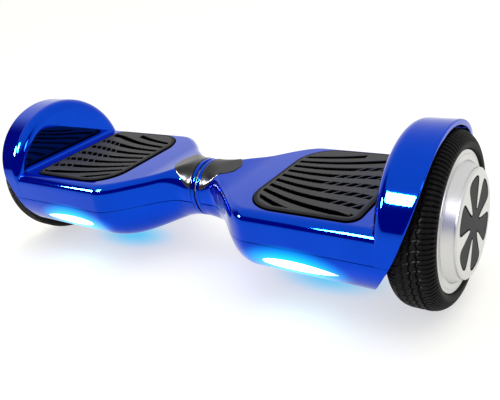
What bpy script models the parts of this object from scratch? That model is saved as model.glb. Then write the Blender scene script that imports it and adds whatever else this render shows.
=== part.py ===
"""Self-balancing two-wheeled board: two body halves that twist about a centre shaft, each on a hub motor.

Frame: X along the axle line, -Y the front with the two lamps, +Z up, and the ground at Z = 0 under the
board's centre. Along the board, u is the distance from the centre plane, so x = side * u, where side is
+1 for the right half and -1 for the left half. Heights marked "from the axle" are measured from the axle
line. Every length is in metres.
"""

import math

import bmesh
import bpy
from mathutils import Matrix, Vector

# Fits
GAP = 0.0003                    # between pieces that touch
PAD_CLEARANCE = 0.0005          # around a foot pad in its opening
PAD_TRAVEL = 0.0015             # how far a foot pad presses down
EMBED = 0.001                   # how far two shapes that are joined run into each other

# Wheels
TYRE_RADIUS = 0.0825
TYRE_HALF_WIDTH = 0.022
WHEEL_U = 0.260                 # centre plane of a wheel
HUB_FACE_U = 0.292              # outer face of the hub, which is the end of the board
HUB_FACE_RADIUS = 0.050
HUB_FACE_WALL = 0.004
RIM_FLANGE_U = 0.2803
RIM_FLANGE_RADIUS = 0.0647
RIM_SEAT_RADIUS = 0.062
RIM_BORE_RADIUS = 0.059
FLANGE_THICKNESS = 0.003
RIM_INSET = 0.0015              # rim's inner edge, from the tyre's inner side
WALL_RELIEF = 0.0012            # how far a tyre's side draws in at the rim
BEARING_SHOULDER = 0.001        # depth of a bearing's seat beyond the bearing
MOTOR_END_ROOM = 0.004
MAGNET_OVERHANG = 0.004
MOTOR_AIR_GAP = 0.0007
MAGNET_THICKNESS = 0.0047
AXLE_RADIUS = 0.0085
BEARING_RADIUS = 0.0175
BEARING_WIDTH = 0.010
BEARING_SEAT_WALL = 0.0032
AXLE_INNER_U = 0.195
BADGE_THICKNESS = 0.0015
BADGE_REACH = 0.0425            # tip of a badge leg, from the axle line
BADGE_VALLEY = 0.0125           # where two legs meet

# Body shell
SHELL_WALL = 0.003
WAIST_RADIUS = 0.032            # round section at the centre
BODY_HALF_WIDTH = 0.0875
DECK_HEIGHT = 0.025             # top of the deck, from the axle
BELLY_DEPTH = 0.050             # underside, below the axle
SHOULDER_RADIUS = 0.012
KEEL_RADIUS = 0.044
FLARE_START = 0.020             # where the waist begins to widen
FLARE_END = 0.104               # where the body has its full width
SHOULDER_START = 0.006          # where the round waist begins to turn into deck and shoulders
SHOULDER_END = 0.045
DECK_RUN = 0.062                # where the top reaches the deck's height
BELLY_RUN = 0.088               # where the underside reaches its depth
SEAM_DROP = 0.0055              # seam of the two covers, below the axle
CENTRE_GAP = 0.0025             # open gap between the halves
WAIST_RING_WIDTH = 0.0045

# Wheel arch
FENDER_RADIUS = 0.0905
FENDER_NOSE = 0.012             # rounding of the arch's inner edge
ARCH_STEP = 0.0002              # how far the arch's flats stand proud of the body
TYRE_CLEARANCE = 0.0026
WELL_U = 0.235                  # wall of the wheel well
AXLE_HOLE_CLEARANCE = 0.0015
ARCH_REACH_U = 0.2732           # arch edge at its top
EDGE_CURVE = 2.7                # how fast the arch edge draws in below its top, per metre

# Foot pads
PAD_INNER_U = 0.092
PAD_OUTER_U = 0.216
PAD_HALF_WIDTH = 0.075
PAD_INNER_CORNER = 0.039
PAD_OUTER_CORNER = 0.014
PAD_PROUD = 0.0018
PAD_THICKNESS = 0.0056
PAD_SUPPORT_MARGIN = 0.004
PAD_SUPPORT_THICKNESS = 0.0025
PLUNGER_RADIUS = 0.003
PLUNGER_Y = 0.030

# Centre trims and lamps
TRIM_LENGTH = 0.036
TRIM_HALF_WIDTH = 0.0305
TRIM_THICKNESS = 0.0012
LAMP_INNER_U = 0.119
LAMP_OUTER_U = 0.199
LAMP_DROP = 0.0245              # lamp's middle, below the axle
LAMP_HALF_HEIGHT = 0.0065
LAMP_THICKNESS = 0.0022

# Chassis and centre pivot
SHAFT_RADIUS = 0.009
SHAFT_BORE = 0.006
SHAFT_END_U = 0.062
BUSH_WALL = 0.0019
CLIP_RADIUS = 0.0118
CLIP_THICKNESS = 0.0016
SEAL_DEPTH = 0.0014             # how deep the seal lies in the waist's gap
SLEEVE_RADIUS = 0.016
SLEEVE_START_U = 0.008
SLEEVE_END_U = 0.058
CHASSIS_START_U = 0.070
CHASSIS_END_U = 0.228
CHASSIS_HALF_WIDTH = 0.064
CHASSIS_PLATE = 0.0035
RIB_Y = 0.050
RIB_WALL = 0.004
CLAMP_LENGTH = 0.038
CLAMP_HALF_WIDTH = 0.020
CLAMP_HALF_HEIGHT = 0.016
POST_RADIUS = 0.005
POSTS = ((0.090, 0.0), (0.204, 0.038), (0.204, -0.038))

# Screws
SCREW_RADIUS = 0.0015
SCREW_HEAD_RADIUS = 0.0031
SCREW_LENGTH = 0.013

# Electronics
PACK_START_U = 0.096
PACK_END_U = 0.180
PACK_HALF_WIDTH = 0.062
PACK_HEIGHT = 0.0375
BOARD_THICKNESS = 0.0016
LEAD_RADIUS = 0.0025
HARNESS_RADIUS = 0.0035
HARNESS_END_U = 0.084

# Power button and charging socket, on the rear of the right half
BUTTON_U = 0.150
SOCKET_U = 0.186
CONTROL_DROP = 0.020            # their centres, below the axle
BUTTON_RADIUS = 0.007
BUTTON_TRAVEL = 0.002
HOUSING_RADIUS = 0.0097
HOUSING_FACE_Y = 0.0868
HOUSING_DEPTH = 0.0105
BUTTON_PROUD = 0.0007
SOCKET_BORE = 0.0055
SOCKET_FACE_Y = 0.0856
CAP_RADIUS = 0.0102
CAP_THICKNESS = 0.0018
CAP_LAND_MARGIN = 0.0035        # flat land around the cap
CAP_EAR_HALF_WIDTH = 0.004
SOCKET_DEPTH = 0.014
CONTROL_WALL = 0.0015           # floor of the button housing and of the socket

AXLE_Z = TYRE_RADIUS
WELL_RADIUS = TYRE_RADIUS + TYRE_CLEARANCE
DECK_Z = AXLE_Z + DECK_HEIGHT
BELLY_Z = AXLE_Z - BELLY_DEPTH
COVER_START_U = CENTRE_GAP / 2 + WAIST_RING_WIDTH + GAP
CORE_START_U = 0.001            # where the cutters that hollow the body begin
PAD_BOTTOM_Z = DECK_Z + PAD_PROUD - PAD_THICKNESS
SUPPORT_TOP_Z = PAD_BOTTOM_Z - PAD_TRAVEL - GAP
CHASSIS_BOTTOM_Z = AXLE_Z + 0.0005
CHASSIS_TOP_Z = CHASSIS_BOTTOM_Z + CHASSIS_PLATE
SIDES = (("left", -1), ("right", 1))
REACH = 0.35                    # beyond every piece, for cutters

# colour, roughness, metallic
FINISHES = {
    "blue_chrome": ((0.01, 0.07, 0.62), 0.12, 0.9),
    "pad_rubber": ((0.05, 0.05, 0.045), 0.7, 0.0),
    "black_gloss": ((0.03, 0.03, 0.025), 0.2, 0.0),
    "black_plastic": ((0.02, 0.02, 0.02), 0.5, 0.0),
    "tyre_rubber": ((0.02, 0.02, 0.02), 0.8, 0.0),
    "aluminium": ((0.62, 0.62, 0.61), 0.3, 1.0),
    "grey_paint": ((0.07, 0.07, 0.08), 0.45, 0.0),
    "steel": ((0.4, 0.4, 0.42), 0.35, 1.0),
    "copper": ((0.6, 0.25, 0.1), 0.4, 1.0),
    "lamp_lens": ((0.9, 0.97, 1.0), 0.2, 0.0),
    "circuit_board": ((0.02, 0.12, 0.05), 0.5, 0.0),
    "pack_wrap": ((0.02, 0.08, 0.3), 0.5, 0.0),
}


# Scene, materials and objects

def clear_scene():
    """Remove every object, so the file holds only the board."""
    for obj in list(bpy.data.objects):
        bpy.data.objects.remove(obj, do_unlink=True)


def new_collection(name):
    """A collection linked to the scene."""
    collection = bpy.data.collections.new(name)
    bpy.context.scene.collection.children.link(collection)
    return collection


def finish(name):
    """The Principled material of a finish, made once."""
    if name in bpy.data.materials:
        return bpy.data.materials[name]
    colour, roughness, metallic = FINISHES[name]
    material = bpy.data.materials.new(name)
    material.use_nodes = True
    shader = material.node_tree.nodes["Principled BSDF"]
    shader.inputs["Base Color"].default_value = (*colour, 1.0)
    shader.inputs["Roughness"].default_value = roughness
    shader.inputs["Metallic"].default_value = metallic
    return material


def new_object(name, mesh, finish_name):
    """An object for a mesh: a part when it has a finish, a hidden cutter when it has none."""
    obj = bpy.data.objects.new(name, mesh)
    if finish_name is None:
        CUTTERS.objects.link(obj)
        obj.hide_render = True
        obj.display_type = "WIRE"
    else:
        PARTS.objects.link(obj)
        mesh.materials.append(finish(finish_name))
    return obj


def from_bmesh(name, bm, finish_name):
    """Turn a bmesh into an object and free it."""
    mesh = bpy.data.meshes.new(name)
    bm.to_mesh(mesh)
    bm.free()
    mesh.shade_smooth()
    mesh.set_sharp_from_angle(angle=math.radians(35))
    return new_object(name, mesh, finish_name)


def carve(obj, other, operation="DIFFERENCE"):
    """Add an exact Boolean with another object."""
    modifier = obj.modifiers.new(operation.lower(), "BOOLEAN")
    modifier.operation = operation
    modifier.solver = "EXACT"
    modifier.object = other
    return obj


def set_origin(obj, point):
    """Move an object's origin to a point, with its shape left where it is."""
    obj.data.transform(Matrix.Translation(-Vector(point)) @ obj.matrix_basis)
    obj.matrix_basis = Matrix.Translation(point)


# Shapes

def box(name, low, high, finish_name=None, bevel=0.0):
    """A box between two corners, with its edges bevelled when asked."""
    low, high = Vector(low), Vector(high)
    bm = bmesh.new()
    bmesh.ops.create_cube(bm, size=1.0)
    size = [abs(span) for span in high - low]
    bmesh.ops.scale(bm, vec=size, verts=bm.verts)
    bmesh.ops.translate(bm, vec=(low + high) / 2, verts=bm.verts)
    obj = from_bmesh(name, bm, finish_name)
    if bevel > 0.0:
        modifier = obj.modifiers.new("bevel", "BEVEL")
        modifier.width = bevel
        modifier.segments = 2
    return obj


def side_box(name, side, u_range, y_range, z_range, finish_name=None, bevel=0.0):
    """A box on one half of the board; z_range is measured from the axle."""
    low = (side * u_range[0], y_range[0], AXLE_Z + z_range[0])
    high = (side * u_range[1], y_range[1], AXLE_Z + z_range[1])
    return box(name, low, high, finish_name, bevel)


def cylinder(name, start, end, radius, finish_name=None, segments=24):
    """A capped cylinder between two points."""
    start, end = Vector(start), Vector(end)
    bm = bmesh.new()
    bmesh.ops.create_cone(bm, cap_ends=True, segments=segments, radius1=radius, radius2=radius,
                          depth=(end - start).length)
    turn = (end - start).to_track_quat("Z", "Y").to_matrix().to_4x4()
    bmesh.ops.transform(bm, matrix=Matrix.Translation((start + end) / 2) @ turn, verts=bm.verts)
    return from_bmesh(name, bm, finish_name)


def turned(name, profile, finish_name, axis_point, axis, steps=24, ring=True, half_step=False):
    """A shape turned about an axis.

    profile lists (along, radius) and runs down its outer side, from the far end to the near one. A ring
    closes on itself; any other profile starts and ends on the axis. half_step puts a flat at the bottom.
    """
    angle = math.pi / steps if half_step else 0.0
    grow = 1.0 / math.cos(math.pi / steps) if half_step else 1.0
    mesh = bpy.data.meshes.new(name)
    points = [(grow * radius * math.cos(angle), grow * radius * math.sin(angle), along)
              for along, radius in profile]
    count = len(points)
    edges = [(i, (i + 1) % count) for i in range(count if ring else count - 1)]
    mesh.from_pydata(points, edges, [])
    obj = new_object(name, mesh, finish_name)
    screw = obj.modifiers.new("turn", "SCREW")
    screw.axis = "Z"
    screw.steps = steps
    screw.render_steps = steps
    screw.use_merge_vertices = True
    screw.merge_threshold = 0.00001
    obj.rotation_euler = Vector(axis).to_track_quat("Z", "Y").to_euler()
    if abs(axis[0]) > 0.5:
        obj.rotation_euler = (0.0, math.copysign(math.pi / 2, axis[0]), 0.0)
    obj.location = axis_point
    return obj


def turned_on_axle(name, side, profile, finish_name, steps=24, ring=True, half_step=False):
    """A shape turned about the axle line; along is the distance u from the centre plane."""
    return turned(name, profile, finish_name, (0.0, 0.0, AXLE_Z), (side, 0, 0), steps, ring, half_step)


def tube_ring(name, side, u_range, inner, outer, finish_name, steps=24):
    """A plain ring about the axle line."""
    near, far = u_range
    profile = ((far, inner), (far, outer), (near, outer), (near, inner))
    return turned_on_axle(name, side, profile, finish_name, steps)


def prism(name, outline, thickness, matrix, finish_name=None):
    """A flat outline filled, given a thickness about its plane, and placed by a matrix."""
    curve = bpy.data.curves.new(name, "CURVE")
    curve.dimensions = "2D"
    curve.fill_mode = "BOTH"
    curve.extrude = thickness / 2
    spline = curve.splines.new("POLY")
    spline.points.add(len(outline) - 1)
    for point, (across, up) in zip(spline.points, outline):
        point.co = (across, up, 0.0, 1.0)
    spline.use_cyclic_u = True
    guide = bpy.data.objects.new(name + "_outline", curve)
    CUTTERS.objects.link(guide)
    guide.matrix_basis = matrix
    bpy.context.view_layer.update()
    evaluated = guide.evaluated_get(bpy.context.evaluated_depsgraph_get())
    mesh = bpy.data.meshes.new_from_object(evaluated)
    mesh.transform(guide.matrix_world)
    bpy.data.objects.remove(guide, do_unlink=True)
    bm = bmesh.new()
    bm.from_mesh(mesh)
    bmesh.ops.remove_doubles(bm, verts=bm.verts, dist=0.00001)
    bmesh.ops.recalc_face_normals(bm, faces=bm.faces)
    bm.to_mesh(mesh)
    bm.free()
    mesh.materials.clear()
    return new_object(name, mesh, finish_name)


def prism_up(name, outline, z_low, z_high, finish_name=None):
    """A prism standing along Z, from an outline in X and Y."""
    place = Matrix.Translation((0.0, 0.0, (z_low + z_high) / 2))
    return prism(name, outline, z_high - z_low, place, finish_name)


def prism_across(name, outline, y_low, y_high, finish_name=None):
    """A prism along Y, from an outline in X and Z."""
    place = Matrix.Translation((0.0, (y_low + y_high) / 2, 0.0)) @ Matrix.Rotation(math.pi / 2, 4, "X")
    return prism(name, outline, y_high - y_low, place, finish_name)


def arc(centre, radii, start_deg, end_deg, steps):
    """Points along an elliptical arc, both ends included."""
    points = []
    for i in range(steps + 1):
        angle = math.radians(start_deg + (end_deg - start_deg) * i / steps)
        points.append((centre[0] + radii[0] * math.cos(angle), centre[1] + radii[1] * math.sin(angle)))
    return points


def wire(name, points, radius, finish_name):
    """A round lead through a list of points."""
    curve = bpy.data.curves.new(name, "CURVE")
    curve.dimensions = "3D"
    curve.bevel_depth = radius
    curve.bevel_resolution = 2
    curve.use_fill_caps = True
    spline = curve.splines.new("POLY")
    spline.points.add(len(points) - 1)
    for point, place in zip(spline.points, points):
        point.co = (*place, 1.0)
    obj = bpy.data.objects.new(name, curve)
    PARTS.objects.link(obj)
    curve.materials.append(finish(finish_name))
    return obj


# Body shape

def ease(value, start, end):
    """Smooth step from 0 at start to 1 at end."""
    t = min(max((value - start) / (end - start), 0.0), 1.0)
    return t * t * (3.0 - 2.0 * t)


def blend(first, second, t):
    """Value between two sizes."""
    return first + (second - first) * t


def body_section(u, inset):
    """Outline across the body at distance u, moved inwards by inset, as (y, z from the axle)."""
    half_width = blend(WAIST_RADIUS, BODY_HALF_WIDTH, ease(u, FLARE_START, FLARE_END))
    top = blend(WAIST_RADIUS, DECK_HEIGHT, ease(u, 0.0, DECK_RUN))
    belly = blend(WAIST_RADIUS, BELLY_DEPTH, ease(u, 0.0, BELLY_RUN))
    shoulder = blend(WAIST_RADIUS, SHOULDER_RADIUS, ease(u, SHOULDER_START, SHOULDER_END))
    keel = blend(WAIST_RADIUS, KEEL_RADIUS, ease(u, 0.0, FLARE_END))
    side_flat = 0.0005
    shoulder = min(shoulder, top - side_flat, half_width)
    keel = min(keel, belly - side_flat, half_width)
    quarter = 5
    upper = arc((half_width - shoulder, top - shoulder), (shoulder - inset, shoulder - inset), 0, 90, quarter)
    lower = arc((half_width - keel, keel - belly), (keel - inset, keel - inset), -90, 0, quarter)
    half = lower + upper
    return half + [(-y, z) for y, z in reversed(half)]


def body_loft(name, side, inset, start, end, finish_name=None):
    """The body's solid from u = start to u = end, moved inwards by inset."""
    spacing = FLARE_END / 8
    stations = [start]
    stations += [i * spacing for i in range(1, 9) if start + spacing / 4 < i * spacing < end]
    stations.append(end)
    bm = bmesh.new()
    rings = []
    for u in stations:
        ring = [bm.verts.new((side * u, y, AXLE_Z + z)) for y, z in body_section(u, inset)]
        rings.append(ring)
    for ring, following in zip(rings, rings[1:]):
        for i in range(len(ring)):
            bm.faces.new((ring[i - 1], ring[i], following[i], following[i - 1]))
    bmesh.ops.triangulate(bm, faces=bm.faces)
    bm.faces.new(rings[0])
    bm.faces.new(rings[-1])
    bmesh.ops.recalc_face_normals(bm, faces=bm.faces)
    return from_bmesh(name, bm, finish_name)


def fender_solid(side):
    """The wheel arch as a full solid: a turned drum with a rounded inner edge and flat front and rear."""
    nose_u = WELL_U - SHELL_WALL + FENDER_NOSE
    nose = arc((nose_u, FENDER_RADIUS - FENDER_NOSE), (-FENDER_NOSE, FENDER_NOSE), 90, 0, 4)
    end_u = ARCH_REACH_U + SHELL_WALL
    profile = [(end_u, 0.0), (end_u, FENDER_RADIUS)] + nose + [(WELL_U - SHELL_WALL, 0.0)]
    drum = turned_on_axle(f"fender_drum_{side}", side, profile, None, steps=48, ring=False)
    flat = BODY_HALF_WIDTH + ARCH_STEP
    slab = side_box(f"fender_slab_{side}", side, (WELL_U / 2, REACH), (-flat, flat), (0.0, REACH))
    return carve(drum, slab, "INTERSECT")


def well_solid(side):
    """The hollow around a wheel, with the hole that its axle passes through."""
    nose_u = WELL_U - SHELL_WALL + FENDER_NOSE
    nose_r = FENDER_RADIUS - FENDER_NOSE
    nose = arc((nose_u, nose_r), (WELL_U - nose_u, WELL_RADIUS - nose_r), 90, 0, 4)
    hole = AXLE_RADIUS + AXLE_HOLE_CLEARANCE
    floor_u = WELL_U - 2 * SHELL_WALL
    profile = [(REACH, 0.0), (REACH, WELL_RADIUS)] + nose + [(WELL_U, hole), (floor_u, hole), (floor_u, 0.0)]
    return turned_on_axle(f"well_{side}", side, profile, None, steps=48, ring=False)


def arch_edge_solid(side):
    """Everything beyond the arch's edge, which draws inwards below its top."""
    outline = []
    steps = 11
    low, high = -FENDER_RADIUS, FENDER_RADIUS + SHELL_WALL
    for i in range(steps + 1):
        height = blend(low, high, i / steps)
        u = ARCH_REACH_U - EDGE_CURVE * (FENDER_RADIUS - height) ** 2
        outline.append((side * u, AXLE_Z + height))
    outline.append((side * ARCH_REACH_U, REACH))
    outline.append((side * REACH, REACH))
    outline.append((side * REACH, AXLE_Z + low))
    return prism_across(f"arch_edge_{side}", outline, -REACH, REACH)


def pad_outline(side, margin):
    """A foot pad's outline grown by a margin: large corners at the inner end, small ones at the outer."""
    inner, outer = PAD_INNER_U - margin, PAD_OUTER_U + margin
    half = PAD_HALF_WIDTH + margin
    big, small = PAD_INNER_CORNER + margin, PAD_OUTER_CORNER + margin
    points = arc((outer - small, half - small), (small, small), 0, 90, 4)
    points += arc((inner + big, half - big), (big, big), 90, 180, 6)
    points += arc((inner + big, big - half), (big, big), 180, 270, 6)
    points += arc((outer - small, small - half), (small, small), 270, 360, 4)
    return [(side * u, y) for u, y in points]


def trim_outline(side, margin):
    """A centre trim's outline from above: half an ellipse that starts at the waist ring."""
    start = COVER_START_U - margin
    radii = (TRIM_LENGTH + margin, TRIM_HALF_WIDTH + margin)
    points = arc((COVER_START_U, 0.0), radii, -90, 90, 16)
    points += [(start, radii[1]), (start, -radii[1])] if margin > 0 else []
    return [(side * u, y) for u, y in points]


def lamp_outline(side, margin):
    """A lamp's outline from the front: a leaf, blunt towards the centre and pointed outwards."""
    middle = blend(LAMP_INNER_U, LAMP_OUTER_U, 0.4)
    height = LAMP_HALF_HEIGHT + margin
    points = arc((middle, 0.0), (middle - LAMP_INNER_U + margin, height), 90, 270, 10)
    reach = LAMP_OUTER_U + margin - middle
    steps = 6
    for sign in (-1, 1):
        for i in range(1, steps):
            t = i / steps if sign < 0 else 1.0 - i / steps
            points.append((middle + reach * t, sign * height * math.cos(t * math.pi / 2) ** 0.8))
        if sign < 0:
            points.append((middle + reach, 0.0))
    return [(side * u, AXLE_Z - LAMP_DROP + z) for u, z in points]


def trim_pocket(side):
    """What the top cover loses so that a centre trim lies flush in it."""
    top = AXLE_Z + REACH
    pocket = prism_up(f"trim_pocket_{side}", trim_outline(side, GAP), AXLE_Z, top)
    depth = TRIM_THICKNESS + GAP
    return carve(pocket, body_loft(f"trim_floor_{side}", side, depth, CORE_START_U, FLARE_END))


def cover_blank(name, side, z_range, arch=None):
    """One cover before its openings: its share of the body, the wheel arch if it has one, all hollow."""
    blank = body_loft(name, side, 0.0, COVER_START_U, ARCH_REACH_U + 2 * SHELL_WALL, "blue_chrome")
    carve(blank, side_box(f"{name}_share", side, (-SHELL_WALL, REACH), (-REACH, REACH), z_range), "INTERSECT")
    if arch is not None:
        carve(blank, arch, "UNION")
    carve(blank, SHARED["well", side])
    carve(blank, SHARED["arch_edge", side])
    carve(blank, SHARED["cavity", side])
    return blank


def build_shared_cutters(side):
    """Cutters that both covers of a half use."""
    SHARED["well", side] = well_solid(side)
    SHARED["arch_edge", side] = arch_edge_solid(side)
    end = WELL_U - SHELL_WALL - ARCH_STEP
    SHARED["cavity", side] = body_loft(f"cavity_{side}", side, SHELL_WALL, CORE_START_U, end)


# Pieces of one half

def build_covers(tag, side):
    """Top cover with its pad opening and trim pocket, and bottom cover with lamp and screw holes."""
    half_gap = GAP / 2
    top = cover_blank(f"top_cover_{tag}", side, (half_gap - SEAM_DROP, REACH), fender_solid(side))
    opening = prism_up(f"pad_opening_{side}", pad_outline(side, PAD_CLEARANCE), AXLE_Z + SHELL_WALL, REACH)
    carve(top, opening)
    carve(top, trim_pocket(side))

    bottom = cover_blank(f"bottom_cover_{tag}", side, (-REACH, -half_gap - SEAM_DROP))
    carve(bottom, prism_across(f"lamp_opening_{side}", lamp_outline(side, GAP), -REACH, -KEEL_RADIUS))
    for index, (u, y) in enumerate(POSTS, start=1):
        x = side * u
        floor = BELLY_Z + SHELL_WALL / 2
        hole = cylinder(f"screw_hole_{side}_{index}", (x, y, 0.0), (x, y, AXLE_Z / 2 + BELLY_Z / 2),
                        SCREW_RADIUS + GAP, segments=12)
        sink = cylinder(f"screw_sink_{side}_{index}", (x, y, 0.0), (x, y, floor), SCREW_HEAD_RADIUS + GAP,
                        segments=16)
        carve(bottom, hole)
        carve(bottom, sink)
    if side > 0:
        z = AXLE_Z - CONTROL_DROP
        for name, u in (("button", BUTTON_U), ("socket", SOCKET_U)):
            carve(bottom, cylinder(f"{name}_hole", (u, KEEL_RADIUS, z), (u, REACH, z), HOUSING_RADIUS + GAP))
        land = CAP_RADIUS + CAP_LAND_MARGIN
        carve(bottom, cylinder("cap_land", (SOCKET_U, SOCKET_FACE_Y, z), (SOCKET_U, REACH, z), land))


def build_foot_pad(tag, side):
    """Foot pad with two plungers, and the support plate that it rides over."""
    pad = prism_up(f"foot_pad_{tag}", pad_outline(side, 0.0), PAD_BOTTOM_Z, PAD_BOTTOM_Z + PAD_THICKNESS,
                   "pad_rubber")
    support = prism_up(f"pad_support_{tag}", pad_outline(side, PAD_SUPPORT_MARGIN),
                       SUPPORT_TOP_Z - PAD_SUPPORT_THICKNESS, SUPPORT_TOP_Z, "black_plastic")
    x = side * (PAD_INNER_U + PAD_OUTER_U) / 2
    for sign in (-1, 1):
        y = sign * PLUNGER_Y
        low = SUPPORT_TOP_Z - PAD_SUPPORT_THICKNESS - PLUNGER_RADIUS
        plunger = cylinder(f"plunger_{side}_{sign}", (x, y, low), (x, y, PAD_BOTTOM_Z + PAD_THICKNESS / 2),
                           PLUNGER_RADIUS, segments=12)
        carve(pad, plunger, "UNION")
        hole = cylinder(f"plunger_hole_{side}_{sign}", (x, y, AXLE_Z), (x, y, DECK_Z),
                        PLUNGER_RADIUS + PAD_CLEARANCE, segments=12)
        carve(support, hole)
    set_origin(pad, (x, 0.0, PAD_BOTTOM_Z))


def build_trims_and_lamps(tag, side):
    """Black trim on the waist, bright ring at the gap, lamp lens and its board."""
    beyond = 0.01
    trim = body_loft(f"centre_trim_{tag}", side, 0.0, COVER_START_U, FLARE_END, "black_gloss")
    shape = prism_up(f"trim_shape_{side}", trim_outline(side, 0.0), AXLE_Z + EMBED, AXLE_Z + REACH)
    carve(trim, shape, "INTERSECT")
    carve(trim, body_loft(f"trim_back_{side}", side, TRIM_THICKNESS, CORE_START_U, FLARE_END + beyond))

    start = CENTRE_GAP / 2
    tube_ring(f"waist_ring_{tag}", side, (start, start + WAIST_RING_WIDTH),
              WAIST_RADIUS - 2 * SHELL_WALL, WAIST_RADIUS + GAP, "blue_chrome", steps=28)

    lens = body_loft(f"lamp_lens_{tag}", side, 0.0, FLARE_END, WELL_U - SHELL_WALL, "lamp_lens")
    carve(lens, prism_across(f"lamp_shape_{side}", lamp_outline(side, 0.0), -REACH, -KEEL_RADIUS), "INTERSECT")
    carve(lens, body_loft(f"lamp_back_{side}", side, LAMP_THICKNESS, FLARE_END - beyond, WELL_U))
    behind = BODY_HALF_WIDTH - 0.4 * KEEL_RADIUS
    side_box(f"lamp_board_{tag}", side, (LAMP_INNER_U, LAMP_OUTER_U), (-behind - BOARD_THICKNESS, -behind),
             (-LAMP_DROP - LAMP_HALF_HEIGHT, -LAMP_DROP + LAMP_HALF_HEIGHT), "circuit_board")


def build_chassis(tag, side):
    """Cast chassis with the pivot sleeve, ribs, screw posts and the upper half of the axle seat."""
    sleeve_bore = SHAFT_RADIUS + GAP
    if side > 0:
        sleeve_bore += BUSH_WALL + GAP
    plate = (CHASSIS_BOTTOM_Z - AXLE_Z, CHASSIS_TOP_Z - AXLE_Z)
    half = CHASSIS_HALF_WIDTH
    chassis = side_box(f"chassis_{tag}", side, (CHASSIS_START_U, CHASSIS_END_U), (-half, half), plate,
                       "aluminium")
    sleeve = cylinder(f"sleeve_{side}", (side * SLEEVE_START_U, 0, AXLE_Z), (side * SLEEVE_END_U, 0, AXLE_Z),
                      SLEEVE_RADIUS)
    neck = side_box(f"neck_{side}", side, (SLEEVE_END_U - 4 * EMBED, CHASSIS_START_U + 6 * EMBED),
                    (-SLEEVE_RADIUS, SLEEVE_RADIUS), (-SLEEVE_RADIUS / 2, SLEEVE_RADIUS / 2))
    rib_top = SUPPORT_TOP_Z - PAD_SUPPORT_THICKNESS - GAP - AXLE_Z
    ribs = [side_box(f"rib_{side}_{sign}", side, (PAD_INNER_U, PAD_OUTER_U),
                     (sign * RIB_Y, sign * (RIB_Y + RIB_WALL)), (plate[0] + EMBED, rib_top))
            for sign in (-1, 1)]
    seat_span = (CHASSIS_END_U - CLAMP_LENGTH, CHASSIS_END_U - EMBED)
    seat = side_box(f"axle_seat_{side}", side, seat_span, (-CLAMP_HALF_WIDTH, CLAMP_HALF_WIDTH),
                    (GAP, CLAMP_HALF_HEIGHT))
    post_bottom = BELLY_Z + SHELL_WALL + GAP
    post_top = CHASSIS_TOP_Z - EMBED
    posts = [cylinder(f"post_{side}_{index}", (side * u, y, post_bottom), (side * u, y, post_top), POST_RADIUS,
                      segments=16)
             for index, (u, y) in enumerate(POSTS, start=1)]
    for piece in [sleeve, neck, seat] + ribs + posts:
        carve(chassis, piece, "UNION")
    bores = [
        cylinder(f"sleeve_bore_{side}", (0, 0, AXLE_Z), (side * SLEEVE_END_U, 0, AXLE_Z), sleeve_bore),
        cylinder(f"shaft_pocket_{side}", (side * (SLEEVE_END_U - EMBED / 2), 0, AXLE_Z),
                 (side * (SHAFT_END_U + EMBED), 0, AXLE_Z), CLIP_RADIUS + 2 * GAP),
        cylinder(f"harness_bore_{side}", (0, 0, AXLE_Z), (side * (HARNESS_END_U + 2 * EMBED), 0, AXLE_Z),
                 HARNESS_RADIUS * 2),
        cylinder(f"axle_bore_{side}", (side * (AXLE_INNER_U - 12 * EMBED), 0, AXLE_Z), (side * 0.24, 0, AXLE_Z),
                 AXLE_RADIUS + GAP),
    ]
    for index, (u, y) in enumerate(POSTS, start=1):
        top = post_bottom + SCREW_LENGTH + EMBED
        bores.append(cylinder(f"post_bore_{side}_{index}", (side * u, y, 0.0), (side * u, y, top),
                              SCREW_RADIUS + GAP, segments=12))
    for bore in bores:
        carve(chassis, bore)

    clamp = side_box(f"axle_clamp_{tag}", side, seat_span, (-CLAMP_HALF_WIDTH, CLAMP_HALF_WIDTH),
                     (-CLAMP_HALF_HEIGHT, -GAP), "aluminium")
    carve(clamp, bores[3])


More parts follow.
